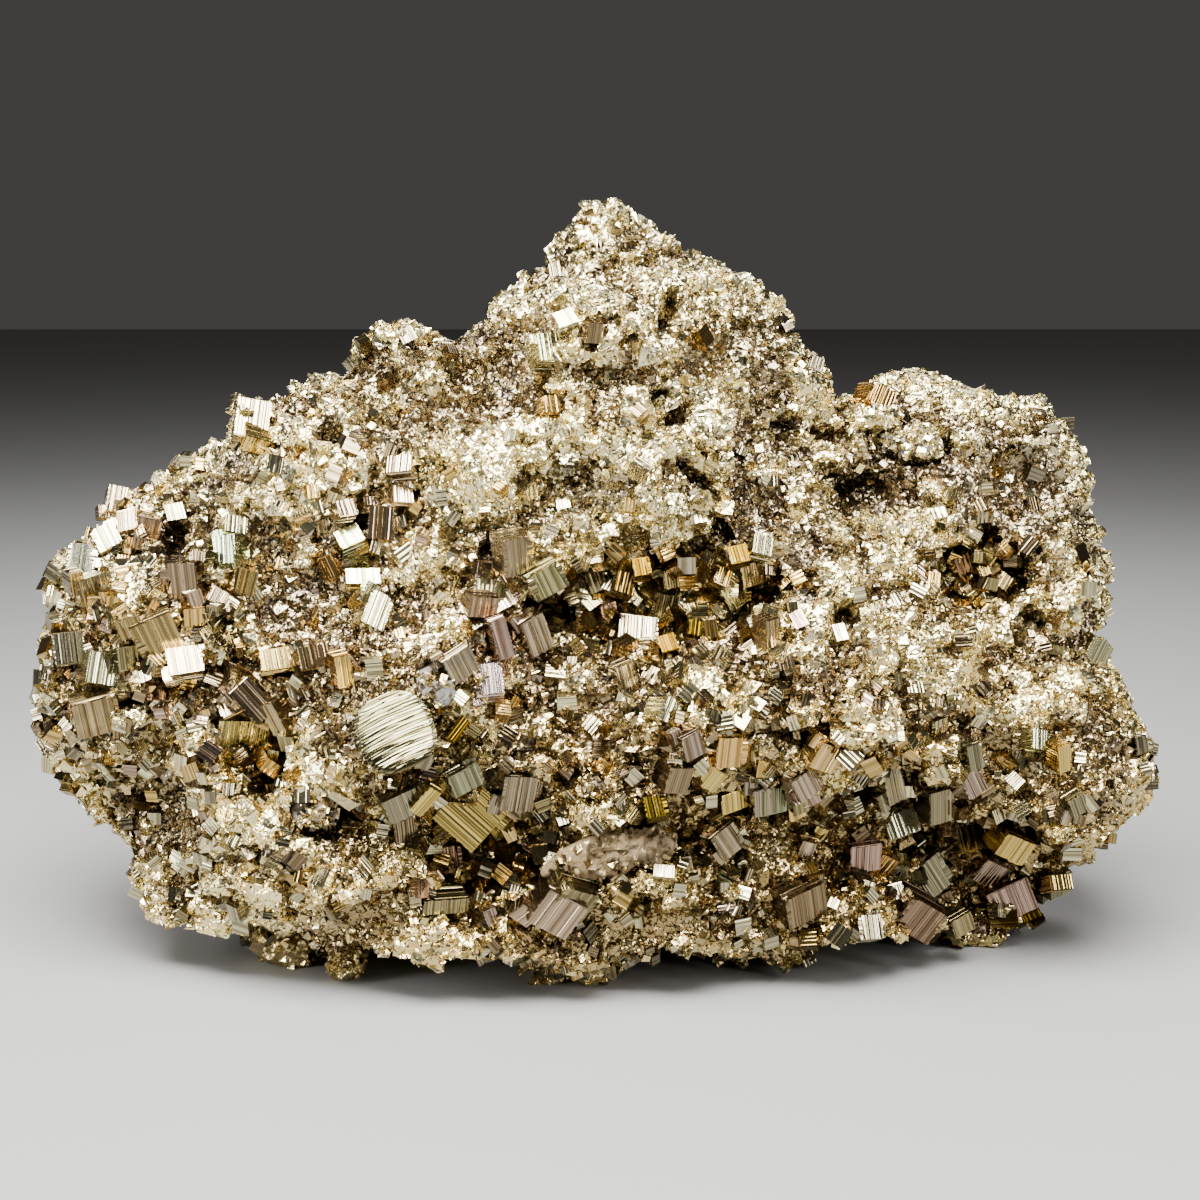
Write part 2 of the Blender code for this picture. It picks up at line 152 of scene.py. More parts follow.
world = bpy.data.worlds.new("dim_room")
world.use_nodes = True
room_light = world.node_tree.nodes["Background"].inputs
room_light["Color"].default_value = ROOM_COLOUR
room_light["Strength"].default_value = ROOM_STRENGTH
bpy.context.scene.world = world
print("lights:", ", ".join(LIGHTS))

# %% [markdown]
# Node trees are easier to read when each node takes one call. This helper adds a node,
# sets its options, and either joins each input to another node's output or gives it a
# plain value.

# %% A helper for node trees
def add_node(tree, kind, options=None, **inputs):
    """Adds a node of that kind. An input's name is written with _ for a space."""
    made = tree.nodes.new(kind)
    for name, value in (options or {}).items():
        setattr(made, name, value)
    for name, value in inputs.items():
        socket = made.inputs[int(name[1:]) if name[1:].isdigit() else name.replace("_", " ")]
        if isinstance(value, bpy.types.NodeSocket):
            tree.links.new(value, socket)
        else:
            socket.default_value = value
    return made


def new_group(name, inputs, outputs):
    """An empty shader group with named sockets, and its input and output nodes."""
    group = bpy.data.node_groups.new(name, "ShaderNodeTree")
    kinds = {"float": "NodeSocketFloat", "colour": "NodeSocketColor", "vector": "NodeSocketVector"}
    for label, (kind, value) in inputs.items():
        socket = group.interface.new_socket(label, in_out="INPUT", socket_type=kinds[kind])
        socket.default_value = value
    for label, kind in outputs.items():
        group.interface.new_socket(label, in_out="OUTPUT", socket_type=kinds[kind])
    return group, group.nodes.new("NodeGroupInput"), group.nodes.new("NodeGroupOutput")


print("node helper ready")

# %% [markdown]
# The floor is a plain pale sheet. It is a large flat square, marked as the stage so that
# it never counts as part of the rock.

# %% Lay the floor
FLOOR_HALF, FLOOR_COLOUR, FLOOR_ROUGHNESS = 4000, (0.27, 0.267, 0.26, 1), 0.6
pale_floor = bpy.data.materials.new("pale_floor")
pale_floor.use_nodes = True
floor_inputs = pale_floor.node_tree.nodes["Principled BSDF"].inputs
floor_inputs["Base Color"].default_value = FLOOR_COLOUR
floor_inputs["Roughness"].default_value = FLOOR_ROUGHNESS

corners = np.array([(-1, -1, 0), (1, -1, 0), (1, 1, 0), (-1, 1, 0)]) * FLOOR_HALF * MM
floor_mesh = bpy.data.meshes.new("floor")
floor_mesh.from_pydata(corners, [], [(0, 1, 2, 3)])
floor_mesh.materials.append(pale_floor)
floor = bpy.data.objects.new("floor", floor_mesh)
bpy.context.scene.collection.objects.link(floor)
floor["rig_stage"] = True
print("floor laid")

# %% [markdown]
# Every piece here is worked out as whole arrays: points, faces, and where needed a UV map
# and a tint. This helper turns such arrays into an object. The UV map isn't for a picture:
# its u is the distance across the grooves of a crystal face in millimetres, and its v is a
# number of the crystal's own, so that a material can draw grooves that follow each face.

# %% A helper that makes a piece from arrays
def new_piece(name, points, faces, slot, stripes=None, tint=None):
    """An object from points in millimetres and faces as rows of point numbers.

    stripes holds u and v for each corner of each face, and tint a colour for each point.
    Points that would leave the measured model's box are held at its sides.
    """
    held = np.clip(np.asarray(points) * MM, cad_box[0], cad_box[1])
    mesh = bpy.data.meshes.new(name)
    mesh.from_pydata(held, [], faces)
    if stripes is not None:
        layer = mesh.uv_layers.new(name="stripes")
        layer.uv.foreach_set("vector", np.asarray(stripes, np.float32).ravel())
    if tint is not None:
        colours = np.ones((len(held), 4), np.float32)
        colours[:, :3] = tint
        mesh.color_attributes.new(name="tint", type="FLOAT_COLOR", domain="POINT")
        mesh.color_attributes["tint"].data.foreach_set("color", colours.ravel())
    piece = bpy.data.objects.new(name, mesh)
    bpy.context.scene.collection.objects.link(piece)
    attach(piece, "root")
    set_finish(piece, slot)
    return piece


print("piece helper ready")

# %% [markdown]
# Broken rock has no smooth noise in it. It is made of small flat facets that meet in sharp
# valleys. The function below gives such ground: space is cut into cubes, each holds one
# seed with a tilted plane of its own, and the height at a point is that of the highest
# plane nearby.

# %% Broken ground
HASH_STEPS, HASH_SALT, HASH_SCALE = np.array([127.1, 311.7, 74.7]), 53.3, 43758.5453
FACET_REACH, FACET_FALL = 0.45, 0.8


def hashed(cells, salt):
    """Random numbers from 0 to 1 for whole-number cells: the fraction of a large sine."""
    mixed = cells @ HASH_STEPS + salt * HASH_SALT
    return np.modf(np.abs(np.sin(mixed) * HASH_SCALE))[0]


def broken_ground(points, size, slope, rise, salt):
    """Height of broken ground: max over seeds of slope * (away . tilt) + rise * level,
    less the fall times the distance beyond the facet's reach, a share of the cell size."""
    home = np.floor(points / size)
    height = np.full(len(points), -np.inf)
    for step in np.ndindex(3, 3, 3):
        cell = home + np.array(step) - 1
        spot = np.stack([hashed(cell, salt + axis) for axis in range(3)], axis=1)
        dice = np.stack([hashed(cell, salt + 7 + axis) for axis in range(3)], axis=1) * 2 - 1
        away = points - (cell + spot) * size
        plane = (away * dice).sum(axis=1) * slope + dice[:, 0] * rise
        beyond = np.linalg.norm(away, axis=1) - size * FACET_REACH
        height = np.maximum(height, plane - np.maximum(beyond, 0) * FACET_FALL)
    return height - height.mean()


def mesh_points(mesh, what="co"):
    """A mesh's points or normals as rows."""
    values = np.empty(len(mesh.vertices) * 3)
    mesh.vertices.foreach_get(what, values)
    return values.reshape(-1, 3)


print("broken ground at the middle:", broken_ground(np.zeros((1, 3)), 4, 0.5, 1, 0))

# %% [markdown]
# The measured rock is a closed solid with facets of about six millimetres. A copy of it is
# turned into an even net of small squares with Blender's voxel remesh, because an even net
# can carry fine relief everywhere. The relief is added in three sizes of broken ground.

# %% Turn the rock into an even net
SKIN_VOXEL, MERGE_REACH = 1.44, 0.001


def remeshed_copy(node, voxel):
    """A new mesh with the node's form, made of even squares of the voxel's size."""
    helper = bpy.data.objects.new(f"{node}_copy", frame["nodes"][node].data.copy())
    bpy.context.scene.collection.objects.link(helper)
    weld = helper.modifiers.new("weld", "WELD")
    weld.merge_threshold = MERGE_REACH * MM
    remesh = helper.modifiers.new("even", "REMESH")
    remesh.mode = "VOXEL"
    remesh.voxel_size = voxel * MM
    evaluated = helper.evaluated_get(bpy.context.evaluated_depsgraph_get())
    even = bpy.data.meshes.new_from_object(evaluated)
    bpy.data.objects.remove(helper)
    return even


def mesh_quads(mesh):
    """The point numbers of each four-sided face, as rows."""
    numbers = np.empty(len(mesh.loops), np.int64)
    mesh.loops.foreach_get("vertex_index", numbers)
    return numbers.reshape(-1, 4)


skin_mesh = remeshed_copy("pyrite_rock", SKIN_VOXEL)
skin_base = mesh_points(skin_mesh) / MM
skin_normals = mesh_points(skin_mesh, "normal")
skin_quads = mesh_quads(skin_mesh)
print("skin:", len(skin_base), "points,", len(skin_quads), "squares")

# %% [markdown]
# Pyrite grows in cubes. The larger ones are listed here as they stand in the rock, seen
# from the front: place across and up, width, height, three turns and a tarnish colour. A
# ray shot at the measured model finds how far back each one sits, so that the dressed
# crystal covers the plain block that the model has there.

# %% List the crystals of the front
LEFT_LOBE_CRYSTALS = [
    (-123, 101, 7, 8, -4, 10, -24, "blue"), (-117, 106, 6, 6.5, 32, 18, -26, "pale"),
    (-119, 113, 6, 7, -6, 20, -26, "pale"), (-110, 111, 5.5, 5.5, 8, -16, -26, "pale"),
    (-107, 109, 6, 8.5, -16, 12, 8, "brown"), (-95, 99, 9.5, 11.5, 3, -16, 6, "brown"),
    (-101, 88, 10, 9.5, 20, 14, 8, "bronze"), (-94, 82, 8, 6.5, 16, 22, -28, "pale"),
    (-83, 99, 6, 6, -14, 28, -12, "amber"), (-85, 106, 6, 7, 4, -22, -16, "blue"),
    (-119, 95, 7.5, 9.5, 12, 30, 4, "olive"), (-108, 83, 5.5, 5.5, 4, 30, 0, "olive"),
    (-90, 91, 6.5, 5.5, 10, -24, 16, "grey"), (-140, 65, 8, 9, -4, 40, -16, "pale"),
    (-123, 83, 7, 7.5, 10, 24, -20, "grey"), (-114, 79, 9.5, 7.5, -6, 28, -24, "pale"),
    (-115, 71, 10.5, 9, 6, 20, 14, "brown"), (-82, 75, 11, 6.5, -36, 24, 10, "grey"),
    (-65, 83, 8, 5.5, 14, 24, -18, "bronze"), (-82, 134, 8, 9.5, -5, 14, -26, "pale"),
    (-51, 112, 6.5, 8, -5, 12, -6, "pale"), (-52, 93, 6, 8.5, -20, 22, -30, "pale"),
]
CENTRE_CRYSTALS = [
    (-30, 48, 13, 12.5, 46, 10, 4, "gold"),
    (-19, 54, 9.5, 9, -10, 20, 8, "grey"), (-44, 54, 11, 6.5, 16, 20, 14, "grey"),
    (-31, 58, 8, 5.5, 20, 24, 10, "grey"), (-45, 46, 6, 6, 4, 30, 12, "brown"),
    (-10, 30, 10.5, 9.5, -34, 14, 8, "pink"), (-7, 33, 10, 8.5, -34, 30, 14, "brown"),
    (-25, 79, 6.5, 7.5, 8, 8, -27, "rose"), (28, 66, 7.5, 7.5, -5, 18, 8, "gold"),
    (24, 59, 6, 5.5, -36, 26, 6, "gold"), (16, 60, 6.5, 6.5, -16, 30, 8, "brown"),
    (19, 68, 5.5, 6, 14, 30, 12, "grey"), (15, 73, 8.5, 6, -24, 24, -26, "pale"),
    (28, 42, 7, 7, 32, 18, 10, "grey"), (36, 52, 5.5, 7, 4, 20, 12, "grey"),
    (-23, 95, 9, 8, 36, 22, -30, "pale"), (-16, 89, 6.5, 9, 18, 30, 14, "grey"),
    (-32, 84, 7.5, 6.5, 24, 26, 12, "grey"), (-12, 151, 7.5, 7, 10, 26, -24, "pale"),
]
RIGHT_CRYSTALS = [
    (49, 65, 6.5, 6.5, -26, 20, 8, "amber"), (45, 57, 7, 6, 26, 22, 10, "pink"),
    (38, 52, 7, 6.5, 2, 22, 12, "grey"), (66, 53, 5.5, 9.5, 14, 30, 12, "grey"),
    (71, 39, 8.5, 6, 20, 18, -16, "pale"), (79, 46, 7, 9, 4, 22, 12, "grey"),
    (85, 53, 6, 7, 26, 24, 10, "pink"), (61, 35, 8, 7, 0, 16, 10, "pink"),
    (66, 32, 5.5, 6.5, -34, 24, 8, "gold"), (80, 24, 8.5, 9.5, 32, 16, 10, "grey"),
    (97, 36, 9, 6.5, -30, 20, 6, "gold"), (89, 33, 8.5, 6.5, 12, 24, -18, "pale"),
    (95, 25, 8, 7, -34, 20, 10, "pink"), (100, 17, 11.5, 8.5, 22, 12, -2, "pink"),
    (98, 13, 8, 7.5, 90, 33, 6, "lit_gold"), (104, 13, 7, 8.5, 26, 20, -28, "lit_gold"),
    (78, 14, 11, 9.5, -34, 14, 10, "brown"), (111, 22, 7.5, 6.5, 6, 30, 12, "grey"),
    (45, 28, 11, 8.5, 10, 26, 16, "brown"), (61, 20, 6.5, 6, 6, 26, -24, "pale"),
    (118, 79, 7.5, 6.5, -30, 24, -18, "pale"), (66, 139, 7.5, 6, -24, 22, -22, "gold"),
]
RIDGED_CRYSTAL = (-45, 70, 17, 17, 27, 16, -14, "ivory")
print("front crystals:", sum(map(len, (LEFT_LOBE_CRYSTALS, CENTRE_CRYSTALS, RIGHT_CRYSTALS))))

# %% [markdown]
# Nothing is known of the back, so it has ten crystals of the usual kinds and no more. The
# small ones are too small for the measured model. They are listed in the same way and
# stand on the surface that the ray meets.

# %% List the crystals of the back and the small ones
BACK_CRYSTALS = [
    (-96, 92, 10, 9, 12, 26, 14, "grey"), (-62, 54, 8, 8, -24, 20, -16, "pale"),
    (-24, 112, 9, 10, 30, 16, 10, "gold"), (10, 62, 12, 11, -18, 24, 12, "brown"),
    (42, 118, 8, 7, 8, 30, -18, "pale"), (78, 82, 10, 10, 34, 18, 12, "gold"),
    (94, 48, 8, 7, -12, 28, 10, "pink"), (-112, 60, 8, 9, 20, 22, -14, "pale"),
    (-44, 136, 7, 7, -30, 24, 12, "grey"), (22, 30, 9, 8, 14, 20, 16, "olive"),
]
SMALL_CRYSTALS = [
    (-88, 95, 6.5, 4, -26, 20, -30, "pale"), (-85, 111, 5.5, 4.5, 0, 30, -30, "pale"),
    (-73, 70, 4.5, 8, 24, -30, 6, "grey"), (-74, 81, 9, 5, 14, 20, -24, "amber"),
    (-80, 131, 7, 4.5, -28, 22, 26, "amber"), (-46, 118, 5, 4.5, 6, 24, -30, "pale"),
    (-45, 125, 6.5, 4.5, -4, -22, -30, "pale"), (-59, 115, 5, 4.5, 20, 36, -24, "pale"),
    (-58, 108, 6, 5, 34, 24, -28, "pale"), (-63, 102, 4, 5.5, 24, 20, 0, "gold"),
    (-55, 99, 8, 4, 8, 16, -34, "pale"), (-58, 82, 4, 7.5, 6, 24, 6, "gold"),
    (29, 52, 7, 5, 6, 28, 10, "gold"), (11, 14, 5, 5.5, 4, 20, 12, "brown"),
    (-28, 102, 5, 5, -6, 26, -10, "pink"), (-26, 98, 7.5, 5, -6, 20, -22, "pale"),
    (5, 80, 5, 6, 14, 26, 8, "grey"), (100, 63, 5, 5, -4, 24, -22, "pale"),
    (84, 61, 4.5, 6.5, 12, 26, 4, "grey"), (-8, 158, 5, 4.5, 30, 22, -28, "pale"),
    (-2, 156, 4.5, 5, -8, 28, 6, "brown"), (-12, 139, 4.5, 4.5, 10, 24, -20, "gold"),
    (-93, 96, 4, 4, 14, 30, 10, "pink"), (-93, 92, 5, 4.5, 0, 20, 4, "gold"),
    (44, 48, 5, 4.5, 10, 30, 14, "gold"), (47, 39, 4, 4.5, -20, 20, 8, "pink"),
    (69, 25, 4.5, 4, 16, 26, -18, "pale"), (82, 6, 5.5, 6, 12, 20, 10, "gold"),
    (97, 4, 6.5, 4.5, -10, 20, 8, "brown"), (111, 22, 7, 4, 8, 26, -24, "gold"),
    (42, 2, 8, 4, -16, 26, 8, "gold"), (108, 50, 5, 5, 22, 20, 10, "grey"),
    (106, 47, 3.5, 4, -14, 24, 6, "pink"), (128, 58, 4, 4.5, 10, 30, 0, "grey"),
    (105, 60, 4, 7, 8, 24, 10, "gold"), (-39, 55, 3.5, 8, -40, 20, 8, "gold"),
    (-28, 13, 4.5, 4.5, 20, 26, 10, "pink"),
]
# These bridge the left hollow and stand in front of its back wall.
LEFT_HOLLOW_CRYSTALS = [
    (-83, 66, 13, 7.5, -14, 22, 16, "olive"), (-85, 71, 5.5, 5.5, 32, 20, -24, "pale"),
    (-80, 73, 6, 10, 38, 24, 8, "grey"),
]
print("back crystals:", len(BACK_CRYSTALS), " small ones:", len(SMALL_CRYSTALS))

# %% [markdown]
# Single crystals stand inside the hollows and low at the right corner, some of them bright
# gold. Their three place numbers are given whole, in the model's own millimetres. A later
# step brings each one forward as far as it takes for nothing to hide it.

# %% List the crystals inside the hollows
DEEP_CRYSTALS = [
    (12, -27, 97, 4.2, 4.6, 12, 12, -30, "lit_gold"),
    (8, -25, 93, 5, 5.4, -14, 8, -30, "lit_gold"), (4, -14, 85, 4.4, 6, 10, 24, 8, "pink"),
    (11, -19, 81, 9.4, 6, -4, 8, -30, "pale"), (18, -28, 80, 4.4, 4.4, 20, 13, -30, "lit_gold"),
    (24, -26, 83, 4, 4, -8, 10, -30, "lit_gold"), (18, -13, 87, 9, 7.4, -12, 16, 9, "grey"),
    (20, -14, 94, 8.2, 5, 8, 20, 9, "olive"), (34, -27, 100, 4.8, 4.4, 16, 10, -30, "lit_gold"),
    (30, -26, 95, 4, 4.4, -20, 12, -30, "lit_gold"),
    (37, -17, 95, 5.4, 5.8, 10, 20, 9, "olive"), (33, -15, 90, 6, 7.2, 30, 18, 9, "grey"),
    (39, -27, 102, 5, 5, -10, 10, -30, "pale"), (40, -37, 85, 4.4, 6.8, 6, 30, 10, "brown"),
    (23, -13, 91, 5, 6, -24, 24, 9, "grey"), (1, -16, 93, 4.6, 5.4, 18, 20, 9, "olive"),
    (-10, -33, 96, 8.6, 6.6, 24, 16, 9, "olive"), (-17, -32, 102, 7.4, 9, 4, 24, 12, "brown"),
    (-14, -32, 103, 3.4, 5, 10, 10, -30, "lit_gold"),
    (-24, -36, 91, 7, 5.2, -10, 20, 8, "brown"), (-20, -39, 84, 4, 9.4, 14, 20, 4, "pink"),
    (97, -5, 90, 7.4, 4, 4, 8, -30, "lit_gold"), (88, -4, 95, 5, 5, 20, 28, 8, "brown"),
    (101, -4, 96, 4, 4.4, -16, 8, -30, "lit_gold"), (92, -5, 87, 4.4, 4, 26, 24, 9, "olive"),
    (-34, -28, 30, 8.2, 7, 4, 14, 6, "brown"), (-33, -30, 24, 10.6, 4, -6, 20, 9, "olive"),
    (-22, -34, 21, 4, 4, 20, 24, 0, "pink"), (-29, -49, 65, 3, 6.4, -40, 7, -30, "lit_gold"),
    (15, -49, 47, 5.2, 5.2, 14, 9, -30, "lit_gold"), (77, -24, 15, 11, 9, -34, 14, 4, "brown"),
    (88, -20, 11, 6, 5, 20, 20, 9, "olive"),
]
print("crystals in the hollows:", len(DEEP_CRYSTALS))

# %% [markdown]
# Fresh pyrite is pale brassy yellow. A skin of tarnish thinner than a wavelength of light
# tints it gold, amber, brown, rose or bluish. The rock shows each of these on whole
# crystal faces, so the tint is one colour for each crystal.

# %% Name the tints
TINTS = {
    "pale": (0.76, 0.70, 0.46), "gold": (0.70, 0.49, 0.16), "amber": (0.70, 0.50, 0.19),
    "brown": (0.29, 0.22, 0.13), "grey": (0.31, 0.275, 0.19), "olive": (0.39, 0.34, 0.17),
    "pink": (0.46, 0.34, 0.27), "rose": (0.86, 0.74, 0.72), "blue": (0.74, 0.76, 0.62),
    "ivory": (0.22, 0.205, 0.115), "bronze": (0.37, 0.275, 0.13),
    "lit_gold": (0.10, 0.060, 0.004),
}
print("tints:", ", ".join(TINTS))

# %% [markdown]
# Each row becomes a centre, three half sizes and a turn. The model sank each crystal's
# middle a little way behind the face, and no crystal is deeper than nine millimetres. A
# ray from the front stops on the block's own face, and the distance from there to the
# block's middle follows from its half sizes and its turn.

# %% Helpers that turn a crystal and shoot rays at the model
def tree_of(node):
    """A search tree for the node's mesh, to shoot rays at."""
    mesh = frame["nodes"][node].data
    return BVHTree.FromPolygons(
        [point.co / MM for point in mesh.vertices], [face.vertices for face in mesh.polygons]
    )


def turned(roll, yaw, pitch):
    """The turn of a crystal: yaw about the upright, then pitch, then roll in the view."""
    roll, yaw, pitch = (math.radians(angle) for angle in (roll, yaw, pitch))
    return np.array(
        Matrix.Rotation(-roll, 3, "Y") @ Matrix.Rotation(pitch, 3, "X")
        @ Matrix.Rotation(yaw, 3, "Z")
    )


rock_tree = tree_of("pyrite_rock")
front_trees = [rock_tree, *(tree_of(node) for node in frame["nodes"] if "hollow" in node)]
print("search trees:", len(front_trees))

# %% [markdown]
# The rows were drawn on a sheet of their own, and the first pair of numbers below lays that
# sheet on the model. The small crystals sink in by a share of their width. The three that
# bridge the left hollow stand out instead, which is a negative share.

# %% Find where the crystals stand
ROWS_TO_MODEL = (2.74, -5.5)
CRYSTAL_DEPTH = 9
SMALL_SINK, HOLLOW_SINK, DEEP_FORWARD = 0.12, -0.45, 5.0


def standing(row, side=-1, sunk=None):
    """A crystal's centre, half sizes, turn and tint. side is -1 for the front.

    Where the model has the block, its middle lies behind the point that a ray hits by
    1 / max(|depth axis of the block's own frame| / half size). sunk gives that instead.
    """
    x, z, width, height, roll, yaw, pitch, tint = row
    half = np.array([width, min((width + height) / 2, CRYSTAL_DEPTH), height]) / 2
    turn = turned(roll, yaw, pitch)
    x, z = x + ROWS_TO_MODEL[0], z + ROWS_TO_MODEL[1]
    hit = rock_tree.ray_cast(Vector((x, side * 200, z)), Vector((0, -side, 0)))[0]
    if hit is None:
        hit = rock_tree.find_nearest(Vector((x, 0, z)))[0]
    behind = 1 / np.max(np.abs(turn[1]) / half) if sunk is None else sunk * width
    return np.array(hit) - np.array([0, side * behind, 0]), half, turn, TINTS[tint]


def deep(row):
    """The same for a crystal whose whole place is given. Its middle is brought forward to
    the first surface that a ray from the front meets, so that nothing hides it."""
    x, y, z, width, height, roll, yaw, pitch, tint = row
    half = np.array([width, (width + height) / 2, height]) / 2
    hits = [tree.ray_cast(Vector((x, -200, z)), Vector((0, 1, 0)))[0] for tree in front_trees]
    y = min([y - DEEP_FORWARD] + [hit.y for hit in hits if hit])
    return np.array((x, y, z)), half, turned(roll, yaw, pitch), TINTS[tint]


crystals = {
    "crystals_left_lobe": [standing(row) for row in LEFT_LOBE_CRYSTALS],
    "crystals_middle": [standing(row) for row in CENTRE_CRYSTALS],
    "crystals_right": [standing(row) for row in RIGHT_CRYSTALS],
    "crystals_back": [standing(row, side=1) for row in BACK_CRYSTALS],
    "crystals_small": [standing(row, sunk=SMALL_SINK) for row in SMALL_CRYSTALS],
    "crystals_left_hollow": [standing(row, sunk=HOLLOW_SINK) for row in LEFT_HOLLOW_CRYSTALS],
    "crystals_hollows": [deep(row) for row in DEEP_CRYSTALS],
    "crystal_ridged": [standing(RIDGED_CRYSTAL)],
}
print("crystals:", {name: len(group) for name, group in crystals.items()})

# %% [markdown]
# The skin is now made ready to be roughened. Where a crystal stands, the skin is pulled
# inwards so that it hides inside the crystal, which takes a test for points inside blocks.
# A second helper smooths the net many times over.

# %% Helpers that roughen the skin
SKIN_RELIEF = [(12.0, 0.6, 1.4), (5.5, 0.85, 1.0), (3.0, 1.0, 0.6)]
LAYER_STRETCH = np.array((0.72, 0.72, 1.0))
SKIN_SINK, SKIN_LIMITS = 1.5, (-4, 1.2)
CRYSTAL_CLEARANCE, UNDER_CRYSTAL = 0.6, 1.7
SMOOTHINGS, HOLLOW_DEPTH = 40, 1.6
SKIN_SALT = 20


def inside_crystals(points, margin):
    """True for points inside any crystal's block grown by the margin."""
    inside = np.zeros(len(points), bool)
    for group in crystals.values():
        for centre, half, turn, _ in group:
            local = np.abs((points - centre) @ turn)
            inside |= (local < half + margin).all(axis=1)
    return inside


def smoothed(points, quads, times):
    """Each point moved to the mean of its neighbours, many times over."""
    start, end = quads.ravel(), np.roll(quads, -1, axis=1).ravel()
    ends = np.concatenate([start, end]), np.concatenate([end, start])
    count = np.bincount(ends[0], minlength=len(points))[:, None]
    for _ in range(times):
        sums = [
            np.bincount(ends[0], weights=points[ends[1], axis], minlength=len(points))
            for axis in range(3)
        ]
        points = np.stack(sums, axis=1) / count
    return points


print("skin relief:", len(SKIN_RELIEF), "sizes of broken ground")

# %% [markdown]
# Small pits and cracks break up the pale front; they are dug into the skin and later given painted
# shade. Each is an ellipse in the view, and the same ellipses serve later for patches of coarser
# grain and of other tones. Hollows are found by comparing the skin with its smoothed self: a point
# that the smoothing lifts outwards lies in a hollow, and it gets painted shade later.

# %% Roughen the skin and dig the pits
# Each pit's x, z, half width, half height, roll and depth.
PITS = [
    (19, 155, 1.9, 4.6, 10, 7), (46, 128, 2.8, 2.2, 0, 8), (17, 136, 2.6, 2.0, 0, 7),
    (-13, 134, 2.4, 2.4, 0, 6), (26, 118, 1.3, 7, -40, 5), (31, 104, 1.7, 4, -20, 5),
    (-20, 103, 3.4, 4.5, 0, 8), (64, 113, 6, 2.4, 15, 6), (-97, 100, 3, 4, 0, 6),
    (-70, 76, 4, 2.4, -20, 6), (-104, 68, 4, 2.2, 20, 6), (45, 62, 9, 2.5, 8, 6),
    (74, 46, 5, 3, 0, 6), (98, 30, 7, 6, 0, 6), (-52, 106, 2.2, 3.5, 20, 5),
    (-60, 128, 2.2, 3, 0, 5), (104, 84, 3, 2.2, 30, 5), (58, 88, 2.6, 2.6, 0, 6),
]
# How far back the pits end and the back begins, and how far back other patches reach.
BACK_FROM, PATCHES_TO = 15, 20
# Pits add their depth, over this number, to the hollowness, up to the most, so that they get more
# painted shade.
PIT_HOLLOWNESS, MOST_HOLLOW = 4, 1.4


def in_ellipse(points, x, z, half_width, half_height, roll=0):
    """Squared distance from x, z in the view, which is 1 at the rim of a rolled ellipse."""
    c, s = math.cos(math.radians(roll)), math.sin(math.radians(roll))
    across, up = points[:, 0] - x, points[:, 2] - z
    return ((across * c - up * s) / half_width) ** 2 + ((across * s + up * c) / half_height) ** 2


def patch(points, x, z, half_width, half_height):
    """A bell over the front, exp(-squared distance), and nothing behind it."""
    away = in_ellipse(points, x, z, half_width, half_height)
    return np.exp(-away) * (points[:, 1] < PATCHES_TO)


def pit_depth(points):
    """How deep the pits are at each point: the depth times a flat-bottomed bell."""
    depth = np.zeros(len(points))
    for *ellipse, deep in PITS:
        away = in_ellipse(points, *ellipse)
        depth = np.maximum(depth, deep * np.exp(-away**2) * (points[:, 1] < BACK_FROM))
    return depth


pits = pit_depth(skin_base)
lift = -np.full(len(skin_base), SKIN_SINK)
for salt, (size, slope, rise) in enumerate(SKIN_RELIEF):
    lift += broken_ground(skin_base * LAYER_STRETCH, size, slope, rise, salt + SKIN_SALT)
under = inside_crystals(skin_base, CRYSTAL_CLEARANCE)
lift = np.where(under, -UNDER_CRYSTAL, np.clip(lift, *SKIN_LIMITS))
skin_points = skin_base + skin_normals * (lift - pits)[:, None]
raised = smoothed(skin_base, skin_quads, SMOOTHINGS) - skin_points
hollowness = np.clip((raised * skin_normals).sum(axis=1) / HOLLOW_DEPTH, -1, 1)
hollowness = np.clip(hollowness + pits / PIT_HOLLOWNESS, -1, MOST_HOLLOW)
print("skin relief:", np.round(lift.min(), 1), "to", np.round(lift.max(), 1), "mm")

# %% [markdown]
# The surface of massive pyrite is a crust of broken grains, each a cube that lost its
# corners. Every grain here is a box whose eight corners are pushed about at random, so
# its faces tilt every way and each catches the light on its own. All grains are made at
# once: the eight corners of one box, times each grain's size, turn and place.

# %% One box and its turns
BOX_CORNERS = np.array([(x, y, z) for z in (-1, 1) for y in (-1, 1) for x in (-1, 1)], float)
BOX_FACES = np.array([
    (0, 4, 6, 2), (1, 3, 7, 5), (0, 1, 5, 4), (2, 6, 7, 3), (0, 2, 3, 1), (4, 5, 7, 6),
])
# The grooves of a pyrite cube run a different way on each pair of faces. This is the axis
# across them for each face above.
ACROSS_GROOVES = np.array([2, 2, 0, 0, 1, 1])


def random_turns(count, dice):
    """Evenly spread turns: four normal numbers, scaled to length 1, form a quaternion."""
    w, x, y, z = (lambda q: q / np.linalg.norm(q, axis=0))(dice.normal(size=(4, count)))
    rows = [
        1 - 2 * (y * y + z * z), 2 * (x * y - z * w), 2 * (x * z + y * w),
        2 * (x * y + z * w), 1 - 2 * (x * x + z * z), 2 * (y * z - x * w),
        2 * (x * z - y * w), 2 * (y * z + x * w), 1 - 2 * (x * x + y * y),
    ]
    return np.stack(rows, axis=1).reshape(-1, 3, 3)


def lying(normals, lean, dice):
    """Turns that lay a chip's own z along each normal, spun at random about it, after the
    normal got a random push of about the lean."""
    upright = normals + dice.normal(0, lean, normals.shape)
    upright /= np.linalg.norm(upright, axis=1)[:, None]
    side = np.cross(upright, dice.normal(size=normals.shape))
    side /= np.linalg.norm(side, axis=1)[:, None]
    return np.stack([side, np.cross(upright, side), upright], axis=2)


print("random turns ready:", random_turns(1, np.random.default_rng(0)).shape)

# %% [markdown]
# All boxes of a piece are made by one sum. Every box takes the same eight corners and six
# faces, and numpy's einsum applies each box's own turn to its own corners.

